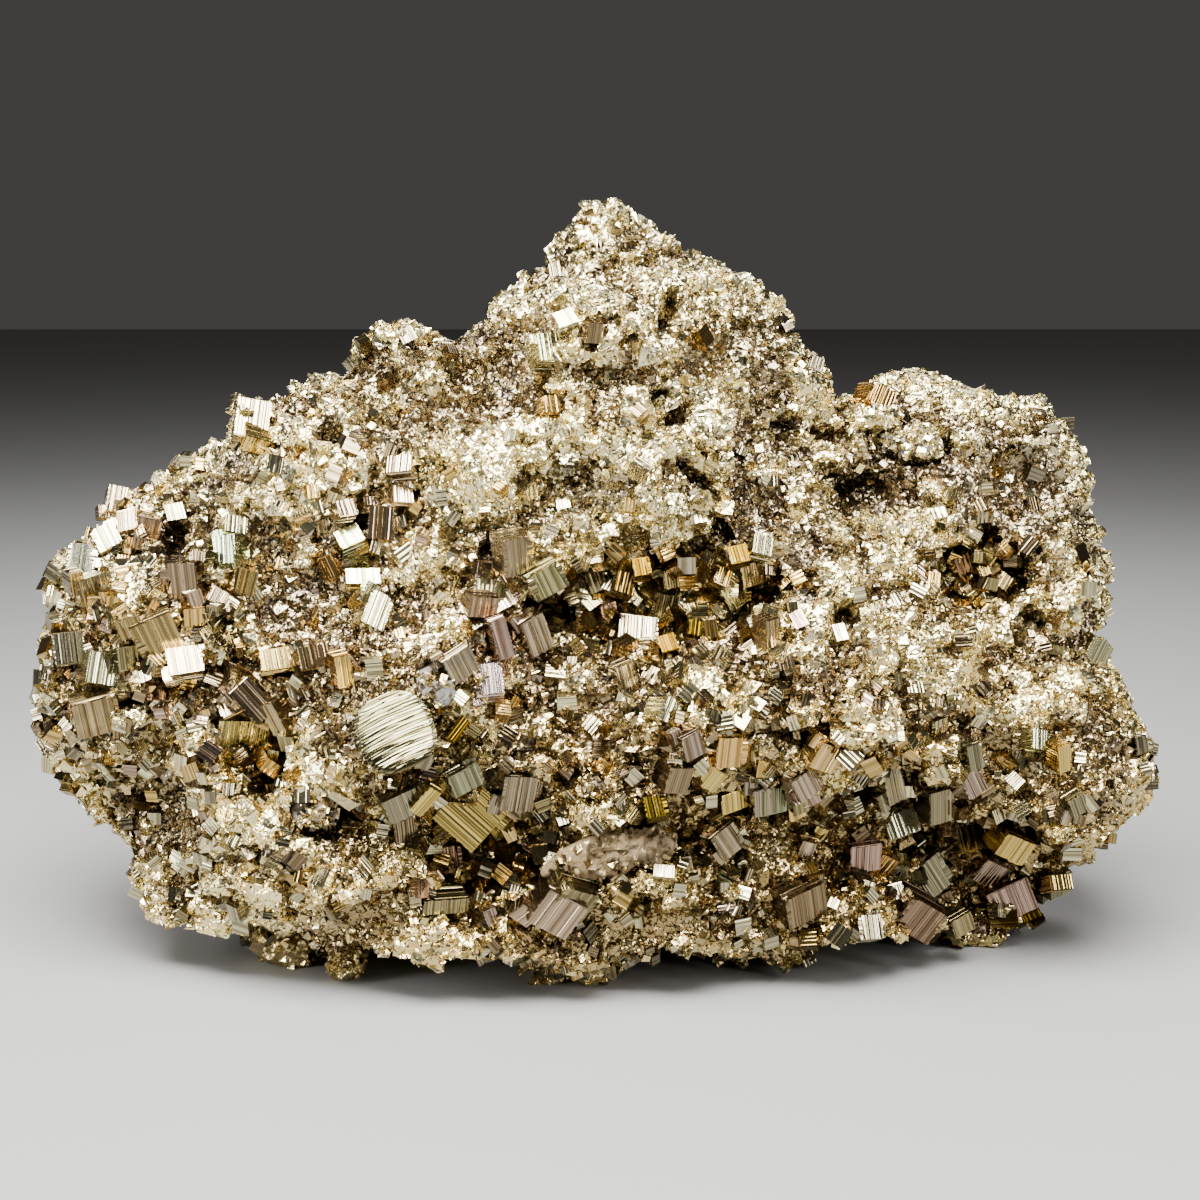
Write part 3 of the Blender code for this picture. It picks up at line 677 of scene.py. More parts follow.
# %% A helper that makes many boxes at once
def boxes(centres, halves, turns, broken, dice):
    """Points, faces and groove coordinates of many boxes.

    point = centre + turn . (corner * half + random push of the given share of half).
    """
    count = len(centres)
    push = dice.uniform(-broken, broken, (count, 8, 3))
    local = (BOX_CORNERS + push) * halves[:, None, :]
    points = np.einsum("nij,nkj->nki", turns, local) + centres[:, None, :]
    faces = (np.arange(count) * 8)[:, None, None] + BOX_FACES
    across = local[:, BOX_FACES, :]
    across = np.take_along_axis(across, ACROSS_GROOVES[None, :, None, None], axis=3)[..., 0]
    seeds = np.broadcast_to(dice.uniform(0, 1000, count)[:, None, None], across.shape)
    stripes = np.stack([across, seeds], axis=3)
    return points.reshape(-1, 3), faces.reshape(-1, 4), stripes.reshape(-1, 2)


print("box helper ready")

# %% [markdown]
# The grains are strewn over the skin. A square's chance to carry one grows with its area,
# and the front gets more than the back. Some regions of the rock are coarser than others:
# the left lobe, the lower right and the hollows hold grains a third larger than usual.

# %% Strew the grains
GRAIN_COUNT = 60000
BACK_SHARE = 0.62
UNDER_HEIGHT, UNDER_SHARE = 3, 0.3
PIT_FADE, PIT_SHARE = 1.5, 0.04
# Regions with other grain: x, z, reach, times the usual size.
GRAIN_REGIONS = [
    (-112, 82, 30, 1.35), (-78, 60, 20, 1.3), (88, 32, 26, 1.35), (12, 94, 22, 1.3),
    (-28, 42, 24, 1.4), (28, 60, 22, 1.3), (-60, 30, 26, 1.3), (112, 100, 30, 0.9),
    (-40, 120, 30, 1.1),
]


def grain_scale(points):
    """How many times the usual size grains are: a product of 1 + (times - 1) * bell."""
    scale = np.ones(len(points))
    for x, z, reach, times in GRAIN_REGIONS:
        scale *= 1 + (times - 1) * patch(points, x, z, reach, reach)
    return scale


def strewn(points, quads, weight, count, dice):
    """Random places on squares: their chance is area times weight. Returns the places,
    the number of each place's square and its normal."""
    corner = points[quads]
    normal = np.cross(corner[:, 2] - corner[:, 0], corner[:, 3] - corner[:, 1])
    area = np.linalg.norm(normal, axis=1)
    chance = area * weight
    chosen = dice.choice(len(quads), count, p=chance / chance.sum())
    share = dice.dirichlet(np.ones(4), count)
    places = (corner[chosen] * share[:, :, None]).sum(axis=1)
    return places, chosen, normal[chosen] / np.maximum(area[chosen], 1e-9)[:, None]


dice = np.random.default_rng(11)
quad_middle = skin_points[skin_quads].mean(axis=1)
front_share = np.where(quad_middle[:, 1] < BACK_FROM, 1, BACK_SHARE)
front_share *= np.where(quad_middle[:, 2] < UNDER_HEIGHT, UNDER_SHARE, 1)
front_share *= np.clip(1 - pits[skin_quads].mean(axis=1) / PIT_FADE, PIT_SHARE, 1)
grain_size = grain_scale(quad_middle)
places, chosen, normals = strewn(
    skin_points, skin_quads, front_share / grain_size, GRAIN_COUNT, dice
)
print("grains:", len(places))

# %% [markdown]
# Broken pyrite is pale where it is clean and brown where it was stained. On top of that, grains
# that lie deep get painted shade, and low down the whole rock gets a painted golden brown shade.
# Every grain therefore mixes four tints: how brown it is depends on how deep and how low it lies,
# how golden on how low it lies, all of it painted shade, and both get a random part for stain, so
# that no two neighbours match.

# %% Colour the skin and the grains
# The dark and umber tints serve both for stain and for painted shade in hollows and at the foot.
GRAIN_PALE, GRAIN_DARK = np.array((0.90, 0.82, 0.50)), np.array((0.34, 0.29, 0.19))
GRAIN_GOLD, GRAIN_UMBER = np.array((0.75, 0.58, 0.23)), np.array((0.37, 0.275, 0.11))
# How brown and how golden: on open ground, more in hollows and more at the foot, both painted
# shade, the random spread and the most.
BROWN, GOLD = (0.30, 0.85, 0.72, 0.28, 1.25), (0.15, 0, 0.65, 0.2, 0.9)
# Painted shade at the foot begins at this height and is full this far below it.
FOOT_TOP, FOOT_FADE = 90, 60

# Regions of the front with another tone, partly stain and partly painted shade in the hollows and
# under the overhang: x, z, half width, half height, how much browner and how much more golden.
# Negative numbers make a region paler.
TONE_AND_SHADE_REGIONS = [
    (14, 30, 58, 22, 0.3, 0.4), (82, 32, 26, 20, 0.15, 0.25), (26, 120, 17, 14, 0.3, 0.1),
    (40, 60, 34, 14, 0.25, 0.2), (-16, 56, 26, 16, 0.22, 0.2), (-42, 74, 12, 14, 0.2, 0.1),
    (14, 92, 36, 10, 0.3, 0.15), (72, 114, 16, 11, 0.2, 0.05), (10, 73, 30, 6, -0.05, 0),
    (12, 78, 46, 10, 0.18, 0.08), (0, 112, 22, 10, -0.28, -0.1), (-98, 92, 26, 22, 0.14, 0.05),
    (-84, 28, 42, 24, -0.85, -0.5), (84, 12, 18, 8, 0.3, 0.1), (104, 66, 20, 14, -0.15, 0),
    (6, 160, 18, 18, -0.12, 0), (-78, 56, 10, 12, 0.35, 0.3), (94, 93, 12, 8, 0.35, 0.35),
    (-25, 32, 18, 9, 0.4, 0.3),
]


def foot_shade_share(points):
    """How much painted shade a point gets at the golden brown foot: 1 low down, 0 above its top.
    """
    return np.clip((FOOT_TOP - points[..., 2]) / FOOT_FADE, 0, 1)


def grain_share(settings, column, depth, places, dice):
    """open ground + hollow * depth + low * lowness + each region's bell + a random part."""
    open_ground, hollow, low, spread, most = settings
    share = open_ground + hollow * depth + low * foot_shade_share(places)
    for region in TONE_AND_SHADE_REGIONS:
        share = share + region[column] * patch(places, *region[:4])
    return np.clip(share + dice.normal(0, spread, len(depth)), 0, most)[:, None]


def grain_tint(depth, places, dice):
    """Pale to dark by the brown share, after gold was mixed into the pale tint and umber into the
    dark one by the golden share. Both shares carry painted shade in hollows and at the foot."""
    brown = grain_share(BROWN, 4, depth, places, dice)
    gold = grain_share(GOLD, 5, depth, places, dice)
    tint = GRAIN_PALE + (GRAIN_GOLD - GRAIN_PALE) * gold
    shade = GRAIN_DARK + (GRAIN_UMBER - GRAIN_DARK) * gold
    return tint + (shade - tint) * brown


# The skin is toned in the same way, with a little more painted shade, since it lies deeper.
SKIN_SHADE_TONE, SKIN_PAINTED_SHADE, PIT_PAINTED_SHADE, PIT_DARKEST = np.array((0.95, 0.93, 0.86)), 0.05, 0.75, 3
skin_tint = grain_tint(hollowness + SKIN_PAINTED_SHADE, skin_points, dice) * SKIN_SHADE_TONE
# The pits get painted shade, darkest at the given depth.
skin_tint *= (1 - PIT_PAINTED_SHADE * np.clip(pits / PIT_DARKEST, 0, 1))[:, None]
skin = new_piece("rock_skin", skin_points, skin_quads, "granular_pyrite", tint=skin_tint)
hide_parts("pyrite_rock")
bpy.data.meshes.remove(skin_mesh)
print("rock_skin:", 2 * len(skin_quads), "triangles")

# %% [markdown]
# Grain sizes in broken rock follow a lognormal spread: many near the usual size, a few
# much larger. Each grain is flattened into a chip that lies roughly along the surface,
# because that is how a broken crust catches light in sheets.

# %% Size and turn the grains
GRAIN_HALF, GRAIN_SPREAD, GRAIN_LIMITS = 0.48, 0.38, (0.22, 2.2)
GRAIN_STRETCH, GRAIN_STAND = (0.6, 1.4), (-0.5, 0.2)
CHIP_THICKNESS, CHIP_LEAN = 0.6, 0.34
grain_depth = hollowness[skin_quads].mean(axis=1)[chosen]
grain_tints = grain_tint(grain_depth, places, dice)
grain_half = GRAIN_HALF * grain_size[chosen] * dice.lognormal(0, GRAIN_SPREAD, GRAIN_COUNT)
grain_halves = np.clip(grain_half, *GRAIN_LIMITS)[:, None]
grain_halves = grain_halves * dice.uniform(*GRAIN_STRETCH, (GRAIN_COUNT, 3))
grain_halves[:, 2] *= CHIP_THICKNESS
grain_turns = lying(normals, CHIP_LEAN, dice)
places += normals * (grain_half * dice.uniform(*GRAIN_STAND, GRAIN_COUNT))[:, None]
print("grain sizes:", np.round(np.percentile(grain_halves * 2, (5, 50, 95)), 2), "mm")

# %% [markdown]
# One object with all the grains would be too heavy for its STL file, so they are shared
# out by place: four regions across the front and two across the back. A grain whose
# middle is inside a crystal is left out.

# %% Make the grains, region by region
GRAIN_BROKEN, REGION_EDGES = 0.42, (-72, -4, 58)
GRAIN_REGION_NAMES = ["left", "middle_left", "middle_right", "right", "back_left", "back_right"]
across, behind = places[:, 0], places[:, 1] > BACK_FROM
region = np.where(behind, 4 + (across > 0), np.digitize(across, REGION_EDGES))
keep = ~inside_crystals(places, 0)
for number, name in enumerate(GRAIN_REGION_NAMES):
    here = keep & (region == number)
    points, faces, stripes = boxes(
        places[here], grain_halves[here], grain_turns[here], GRAIN_BROKEN, dice
    )
    piece = new_piece(
        f"grains_{name}", points, faces, "granular_pyrite", stripes,
        np.repeat(grain_tints[here], 8, axis=0),
    )
    print(piece.name, here.sum(), "grains,", 2 * len(faces), "triangles")

# %% [markdown]
# A pyrite cube has fine grooves on every face, made by two crystal forms that took turns
# as it grew. A face is a staircase seen from above: narrow flat ledges at slightly
# different heights. A bar is a rectangular section carried across the grooves, whose
# thickness jumps from ledge to ledge. Three such bars, one for each pair of faces, stand
# in each other and leave a worn notch along the edges.

# %% A helper that makes one grooved crystal
BARS = [(0, 2, 1), (1, 0, 2), (2, 1, 0)]
GROOVE_WIDTH, GROOVE_DEPTH, GROOVE_RAMP, EDGE_NOTCH = 0.62, 0.24, 0.12, 0.26
GROOVE_UNEVEN, FEWEST_GROOVES = 0.36, 3


def grooved_bar(half, axes, dice):
    """Points, faces and groove coordinates of one closed bar.

    axes are the face's axis, the axis across the grooves and the one along them. At the
    distance t across, the faces stand at plus and minus (half - the ledge's depth).
    """
    face, across, along = axes
    reach = half[across] - EDGE_NOTCH
    count = max(round(2 * reach / GROOVE_WIDTH), FEWEST_GROOVES)
    edges = np.linspace(-reach, reach, count + 1)
    shift = dice.uniform(-GROOVE_UNEVEN, GROOVE_UNEVEN, count - 1)
    edges[1:-1] += shift * (edges[1] - edges[0])
    t = np.stack([edges[:-1] + GROOVE_RAMP / 2, edges[1:] - GROOVE_RAMP / 2], axis=1).ravel()
    t[0], t[-1] = -reach, reach
    ledge = half[face] - np.repeat(dice.uniform(0, GROOVE_DEPTH, (2, count)), 2, axis=1)
    points = np.zeros((len(t), 4, 3))
    points[:, :, across] = t[:, None]
    points[:, :, along] = np.array([-1, 1, 1, -1]) * (half[along] - EDGE_NOTCH)
    points[:, :2, face] = ledge[0][:, None]
    points[:, 2:, face] = -ledge[1][:, None]
    row, side = np.meshgrid(np.arange(len(t) - 1), np.arange(4), indexing="ij")
    after = (side + 1) % 4
    faces = np.stack([row * 4 + side, row * 4 + after, row * 4 + 4 + after, row * 4 + 4 + side], 2)
    last = len(t) * 4 - 4
    faces = np.concatenate([faces.reshape(-1, 4), [(3, 2, 1, 0)], last + np.array([[0, 1, 2, 3]])])
    return points.reshape(-1, 3), faces, np.repeat(t, 4)


def outward(points, faces):
    """The faces, turned round if the closed form they make has a negative volume."""
    corner = points[faces]
    cross = np.cross(corner[:, 1] - corner[:, 0], corner[:, 2] - corner[:, 0])
    cross += np.cross(corner[:, 2] - corner[:, 0], corner[:, 3] - corner[:, 0])
    return faces if (corner[:, 0] * cross).sum() > 0 else faces[:, ::-1]


print("grooved bar ready")

# %% [markdown]
# Some corners of a real cube are cut off by a small sloping face. A corner is cut by laying
# every point beyond a sloping plane onto that plane, which keeps the mesh closed. Each bar
# is cut a little further out than the last, so that no two of their faces coincide.

# %% Cut corners and put crystals together
CORNER_CHANCE, CORNER_CUT, CUT_STEP = 0.25, (0.2, 0.6), 0.15
CUT_OF_HALF, MOST_SEED, SEED_STEP = 0.6, 1000, 40


def cut_corners(points, half, cuts):
    """Points beyond a sloping plane near a corner are laid onto that plane."""
    for corner, back, apart in cuts:
        normal = corner / math.sqrt(3)
        beyond = points @ normal - ((corner * half) @ normal - back - apart)
        points = points - np.maximum(beyond, 0)[:, None] * normal
    return points


def grooved_crystal(centre, half, turn, tint, dice):
    """The three bars of one crystal, with some corners cut, in place."""
    chosen = BOX_CORNERS[dice.random(8) < CORNER_CHANCE]
    backs = dice.uniform(*CORNER_CUT, len(chosen)) * half.min() * CUT_OF_HALF
    found, seed = [], dice.uniform(0, MOST_SEED)
    for number, axes in enumerate(BARS):
        local, faces, across = grooved_bar(half, axes, dice)
        faces = outward(local, faces)
        cuts = [(corner, back, CUT_STEP * number) for corner, back in zip(chosen, backs)]
        points = cut_corners(local, half, cuts) @ turn.T + centre
        seeds = np.full(faces.shape, seed + SEED_STEP * number)
        stripes = np.stack([across[faces], seeds], axis=2)
        found.append((points, faces, stripes, np.broadcast_to(tint, points.shape)))
    return found


def joined(found):
    """Lists of points, faces, groove coordinates and tints put into one piece's arrays."""
    starts = np.cumsum([0] + [len(item[0]) for item in found[:-1]])
    return (
        np.concatenate([item[0] for item in found]),
        np.concatenate([item[1] + start for item, start in zip(found, starts)]),
        np.concatenate([item[2].reshape(-1, 2) for item in found]),
        np.concatenate([item[3] for item in found]),
    )


print("crystal helper ready")

# %% [markdown]
# Real crystals rarely stand alone: smaller ones grow out of their edges, turned nearly the
# same way. Each of the larger listed crystals gets one such companion.

# %% Make the crystals
COMPANION_SIZE, COMPANION_STRETCH = (0.38, 0.62), (0.8, 1.2)
COMPANION_PLACE, COMPANION_LEAN = (0.7, 1.0), 14
# Tints vary at random by the spread, and low crystals get painted shade at the foot.
TINT_SPREAD, FOOT_PAINTED_SHADE = 0.08, 0.28


def companion(centre, half, turn, tint, dice):
    """A smaller crystal near one corner of a larger one, leaning a little."""
    size = dice.uniform(*COMPANION_SIZE)
    corner = np.append(dice.choice((-1, 1), 2), 0)[[0, 2, 1]]
    corner = corner * half * dice.uniform(*COMPANION_PLACE)
    lean = turned(*dice.uniform(-COMPANION_LEAN, COMPANION_LEAN, 3))
    small = half * size * dice.uniform(*COMPANION_STRETCH, 3)
    return centre + turn @ corner, small, turn @ lean, tint


crystal_dice = np.random.default_rng(5)
for name, group in crystals.items():
    if name == "crystal_ridged":
        continue
    whole = []
    for centre, half, turn, tint in group:
        shade = 1 + crystal_dice.uniform(-TINT_SPREAD, TINT_SPREAD, 3)
        # Painted shade at the foot.
        shade *= 1 - FOOT_PAINTED_SHADE * foot_shade_share(centre)
        whole += grooved_crystal(centre, half, turn, np.array(tint) * shade, crystal_dice)
        if name not in ("crystals_small", "crystals_hollows"):
            grown = companion(centre, half, turn, np.array(tint) * shade, crystal_dice)
            whole += grooved_crystal(*grown, crystal_dice)
    points, faces, stripes, tints = joined(whole)
    new_piece(name, points, faces, "crystal_pyrite", stripes, tints)
    print(name, 2 * len(faces), "triangles")

# %% [markdown]
# The largest crystal is worn round, and its front is a stack of curved ridges like roof
# shingles. It is a disc of rings. The front's height is a dome and a saw: across the
# ridges each shingle falls away slowly and ends in a sharp step, so that its broad side
# looks up into the light and the step stays dark.

# %% Shape the ridged front
RING_COUNT, SPOKE_COUNT, HUB = 120, 300, 0.02
RIM_POWER, RIM_SHARPNESS, DOME_FALL = 2.6, 9, 0.7
RIDGE_WIDTH, RIDGE_STEP, RIDGE_LEAN, RIDGE_CURVE = 0.85, 0.31, 27, 0.008
# Two waves keep the ridges from running like ruled lines. Both have a size and a pace, the
# first a start and the second a drift along the ridges.
RIDGE_WAVE, RIDGE_RIPPLE = (0.3, 1.3, 1), (0.1, 3.1, 0.7)
centre, half, turn, tint = crystals["crystal_ridged"][0]
ring = np.linspace(HUB, 1, RING_COUNT)[:, None]
spoke = np.linspace(0, 2 * np.pi, SPOKE_COUNT, endpoint=False)[None, :]
# A rounded square's rim: radius = (|cos|^power + |sin|^power) ^ (-1/power).
rim = (np.abs(np.cos(spoke)) ** RIM_POWER + np.abs(np.sin(spoke)) ** RIM_POWER) ** (-1 / RIM_POWER)
across, up = ring * rim * np.cos(spoke) * half[0], ring * rim * np.sin(spoke) * half[2]
lean = math.radians(RIDGE_LEAN - RIDGED_CRYSTAL[4])
over = up * math.cos(lean) - across * math.sin(lean) + RIDGE_CURVE * across**2
size, pace, start = RIDGE_WAVE
saw = over / RIDGE_WIDTH + size * np.sin(over * pace + start)
size, pace, drift = RIDGE_RIPPLE
saw += size * np.sin(over * pace + across * drift)
rise = RIDGE_STEP * (1 - saw % 1) * np.clip((1 - ring) * RIM_SHARPNESS, 0, 1)
height = rise - DOME_FALL * ring**3
print("ridges stand up to", round(rise.max(), 2), "mm above the dome")

# %% [markdown]
# A net of rings and spokes has an open middle and an open back. One face closes the small
# hub, and a last, slightly narrower ring behind carries the other lid. The stripes of the
# material follow the ridges, since both read the same distance across them.

# %% Close the ridged crystal
BACK_TAPER, RIDGE_STRIPES, RIDGE_SEED = 0.9, 1.3, 3.7
front = np.stack([across, -half[1] - height, up], axis=2).reshape(-1, 3)
back = front[-SPOKE_COUNT:] * (BACK_TAPER, 0, BACK_TAPER) + (0, half[1], 0)
local = np.concatenate([front, back])
row, column = np.meshgrid(np.arange(RING_COUNT), np.arange(SPOKE_COUNT), indexing="ij")
after = (column + 1) % SPOKE_COUNT
faces = np.stack([
    row * SPOKE_COUNT + column, row * SPOKE_COUNT + after,
    (row + 1) * SPOKE_COUNT + after, (row + 1) * SPOKE_COUNT + column,
], axis=2).reshape(-1, 4)
last = len(front)
lids = [tuple(range(SPOKE_COUNT))[::-1], tuple(range(last, last + SPOKE_COUNT))]
every_face = [*map(tuple, faces), *lids]
numbers = np.concatenate([np.array(face) for face in every_face])
stripe = np.append(over.ravel(), over[-1])[numbers] * RIDGE_STRIPES
stripes = np.stack([stripe, np.full(len(numbers), RIDGE_SEED)], axis=1)
points = local @ turn.T + centre
new_piece("crystal_ridged", points, every_face, "crystal_pyrite", stripes, tint)
print("crystal_ridged:", 2 * len(faces), "triangles")

# %% [markdown]
# Between the large cubes and the fine grains lie middling ones, two to four millimetres
# across, thick on the left lobe and at the lower right. They are plain boxes: at this size
# their grooves come from the material.

# %% Strew middling cubes
CUBE_COUNT, CUBE_HALF, CUBE_STRETCH = 2600, (0.8, 2.0), (0.75, 1.2)
CUBE_STAND, CUBE_CLEARANCE, CUBE_BROKEN = (-0.3, 0.5), 0.3, 0.06
# Cube tints vary at random, and low cubes get painted shade at the foot.
CUBE_SHADES, CUBE_FOOT_PAINTED_SHADE = (0.85, 1.08), 1.5 * FOOT_PAINTED_SHADE
# The chance of a cube anywhere, and where there are more: x, z, reach, how much more.
CUBE_CHANCE = 0.35
CUBE_REGIONS = [
    (-115, 85, 26, 9), (-82, 64, 18, 6), (92, 25, 20, 8), (60, 45, 24, 4), (-28, 44, 22, 7),
    (12, 92, 24, 4), (30, 60, 22, 4), (-52, 105, 18, 4), (-90, 20, 26, 2.0), (92, 96, 14, 3),
    (10, 20, 40, 2),
]
CUBE_TINTS = ["pale"] * 7 + ["gold", "brown", "brown", "grey", "grey", "olive", "amber", "pink"]


def cube_share(points):
    """Chance of a middling cube: the same everywhere, plus a bell for each region."""
    share = np.full(len(points), CUBE_CHANCE)
    for x, z, reach, more in CUBE_REGIONS:
        share += more * patch(points, x, z, reach, reach)
    return share


cube_places, cube_chosen, cube_normals = strewn(
    skin_points, skin_quads, cube_share(quad_middle) * front_share, CUBE_COUNT, dice
)
cube_half = dice.uniform(*CUBE_HALF, (CUBE_COUNT, 1))
cube_half = cube_half * dice.uniform(*CUBE_STRETCH, (CUBE_COUNT, 3))
cube_places += cube_normals * dice.uniform(*CUBE_STAND, (CUBE_COUNT, 1))
named = np.array([TINTS[name] for name in CUBE_TINTS])
cube_tints = named[dice.integers(0, len(CUBE_TINTS), CUBE_COUNT)]
cube_tints = cube_tints * dice.uniform(*CUBE_SHADES, (CUBE_COUNT, 1))
# Painted shade at the foot.
cube_tints *= 1 - CUBE_FOOT_PAINTED_SHADE * foot_shade_share(cube_places)[:, None]
clear = ~inside_crystals(cube_places, CUBE_CLEARANCE)
points, faces, stripes = boxes(
    cube_places[clear], cube_half[clear], random_turns(clear.sum(), dice), CUBE_BROKEN, dice
)
tints = np.repeat(cube_tints[clear], 8, axis=0)
new_piece("middling_cubes", points, faces, "crystal_pyrite", stripes, tints)
print("middling_cubes:", clear.sum(), "cubes")

# %% [markdown]
# Four hollows open in the front, each lined with a crust of larger, darker cubes. The model has
# each crust as a thin bowl with a few blocks. Here the bowl stays as the back wall, tinted dark as
# painted shade, and cubes stand all over the side of it that faces the viewer.

# %% Line the hollows
# Each crust's number of cubes and their smallest and largest size.
HOLLOW_CUBES = {
    "hollow_crystals_centre": (240, 1.4, 3.6), "hollow_crystals_left": (90, 1.4, 3.4),
    "hollow_crystals_right": (70, 1.2, 3.0), "hollow_crystals_lower": (110, 1.4, 3.4),
}
HOLLOW_TINTS = (
    ["brown"] * 2 + ["gold"] * 3 + ["grey"] * 3 + ["olive"] * 3 + ["pale"] * 3 + ["bronze"]
)
# The back wall gets a dark tint, painted shade; the cubes' tints vary at random.
HOLLOW_WALL_SHADE, HOLLOW_SHADES = (0.20, 0.18, 0.13), (0.75, 1.1)
HOLLOW_SIGHT, HOLLOW_STAND, HOLLOW_BROKEN = -0.1, 3.4, 0.04
HOLLOW_STRETCH, SIZE_TO_HALF = (0.75, 1.15), 1.6


def node_triangles(node):
    """The node's points in millimetres and its triangles."""
    mesh = frame["nodes"][node].data
    faces = np.empty(len(mesh.loops), np.int64)
    mesh.loops.foreach_get("vertex_index", faces)
    return mesh_points(mesh) / MM, faces.reshape(-1, 3)


for name, (count, small, large) in HOLLOW_CUBES.items():
    points, triangles = node_triangles(name)
    a, b, c = (points[triangles[:, corner]] for corner in range(3))
    facing = np.cross(b - a, c - a)
    area = np.linalg.norm(facing, axis=1)
    weight = np.where(facing[:, 1] < HOLLOW_SIGHT * area, area, 0)
    chosen = dice.choice(len(area), count, p=weight / weight.sum())
    share = dice.dirichlet(np.ones(3), count)
    spots = sum(share[:, [k]] * (a, b, c)[k][chosen] for k in range(3))
    halves = dice.uniform(small, large, (count, 1))
    halves = halves * dice.uniform(*HOLLOW_STRETCH, (count, 3)) / SIZE_TO_HALF
    spots += facing[chosen] / area[chosen][:, None] * dice.uniform(0, HOLLOW_STAND, (count, 1))
    tints = np.array([TINTS[HOLLOW_TINTS[k]] for k in dice.integers(0, len(HOLLOW_TINTS), count)])
    tints = tints * dice.uniform(*HOLLOW_SHADES, (count, 1))
    cubes, faces, stripes = boxes(spots, halves, random_turns(count, dice), HOLLOW_BROKEN, dice)
    wall = len(points)
    every_point = np.concatenate([points, cubes])
    every_face = [*map(tuple, triangles), *map(tuple, faces + wall)]
    stripes = np.concatenate([np.zeros((3 * len(triangles), 2)), stripes])
    tint = np.concatenate([np.full((wall, 3), HOLLOW_WALL_SHADE), np.repeat(tints, 8, axis=0)])
    new_name = f"lining_{name.rsplit('_', 1)[1]}"
    lining = new_piece(new_name, every_point, every_face, "crystal_pyrite", stripes, tint)
    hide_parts(name)
    print(lining.name, count, "cubes")

# %% [markdown]
# Quartz fills a few small patches and one long band. It is milky and grainy, so each patch
# is the model's lump turned into a fine net and broken up by up to two millimetres.

# %% Make the quartz
QUARTZ_NODES = [name for name in sorted(frame["nodes"]) if name.startswith("quartz")]
QUARTZ_VOXEL, QUARTZ_SALT = 0.5, 40
QUARTZ_RELIEF = [(4.2, 0.7, 0.9), (2.2, 0.8, 0.4), (1.1, 0.8, 0.15)]
QUARTZ_SINK, QUARTZ_LIMITS = 0.5, (-2.2, 0.6)
QUARTZ_TINTS = {"quartz_band": (0.17, 0.12, 0.06), "quartz_patch_low": (0.30, 0.28, 0.25)}
QUARTZ_TINT = (0.25, 0.24, 0.225)

# Crumbs of pyrite that lie on each patch; the others get the last number.
QUARTZ_CRUMBS = {"quartz_patch_top": 420, "quartz_band": 60, "other": 160}
crumb_places, crumb_normals = [], []
for name in QUARTZ_NODES:
    mesh = remeshed_copy(name, QUARTZ_VOXEL)
    base, normals, quads = mesh_points(mesh) / MM, mesh_points(mesh, "normal"), mesh_quads(mesh)
    lift = sum(
        broken_ground(base, *relief, QUARTZ_SALT + k) for k, relief in enumerate(QUARTZ_RELIEF)
    )
    base += normals * np.clip(lift - QUARTZ_SINK, *QUARTZ_LIMITS)[:, None]
    tint = QUARTZ_TINTS.get(name, QUARTZ_TINT)
    piece = new_piece(f"{name}_broken", base, quads, "quartz", tint=tint)
    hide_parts(name)
    bpy.data.meshes.remove(mesh)
    count = QUARTZ_CRUMBS.get(name, QUARTZ_CRUMBS["other"])
    places, _, normals = strewn(base, quads, np.ones(len(quads)), count, dice)
    crumb_places.append(places)
    crumb_normals.append(normals)
    print(piece.name, 2 * len(quads), "triangles")

# %% [markdown]
# Crumbs of pyrite lie on the quartz and hide where it meets the rock. They are made as the
# grains were.

# %% Scatter pyrite crumbs on the quartz
CRUMB_HALF, CRUMB_STRETCH, CRUMB_DEPTH = (0.25, 0.8), (0.7, 1.3), 0.1
crumb_places, crumb_normals = np.concatenate(crumb_places), np.concatenate(crumb_normals)
count = len(crumb_places)
halves = dice.uniform(*CRUMB_HALF, (count, 1)) * dice.uniform(*CRUMB_STRETCH, (count, 3))
points, faces, stripes = boxes(
    crumb_places, halves, lying(crumb_normals, CHIP_LEAN, dice), GRAIN_BROKEN, dice
)
tints = grain_tint(np.full(count, CRUMB_DEPTH), crumb_places, dice)
new_piece("quartz_crumbs", points, faces, "granular_pyrite", stripes, np.repeat(tints, 8, axis=0))
print("quartz_crumbs:", count, "grains")

# %% [markdown]
# Now the materials. A few nodes come up again and again: map a range, do a sum on numbers
# or vectors, and mix two colours. Each gets a helper that returns its result.

# %% Helpers for the nodes that come up most
def mapped(tree, value, **limits):
    """One Map Range node's result."""
    return add_node(tree, "ShaderNodeMapRange", Value=value, **limits).outputs[0]


def number_math(tree, operation, *values):
    """One Math node's result."""
    inputs = {f"_{k}": value for k, value in enumerate(values)}
    return add_node(tree, "ShaderNodeMath", {"operation": operation}, **inputs).outputs[0]


def vector_math(tree, operation, *values, **more):
    """One Vector Math node's result."""
    inputs = {f"_{k}": value for k, value in enumerate(values)} | more
    return add_node(tree, "ShaderNodeVectorMath", {"operation": operation}, **inputs).outputs[0]


def mixed(tree, share, first, second, blend="MIX"):
    """One Mix node for colours: the first, with that share of the second."""
    made = tree.nodes.new("ShaderNodeMix")
    made.data_type, made.blend_type = "RGBA", blend
    for number, value in ((0, share), (6, first), (7, second)):
        if isinstance(value, bpy.types.NodeSocket):
            tree.links.new(value, made.inputs[number])
        else:
            made.inputs[number].default_value = value if number == 0 else (*value, 1)
    return made.outputs[2]


print("node helpers ready")

# %% [markdown]
# Effects that several materials use are node groups with inputs. The first gives every
# spot of broken metal a tilt of its own: a Voronoi pattern cuts space into cells, each
# cell's random colour becomes a small vector, and that is added to the surface's normal.
# Two sizes of cell are added together.

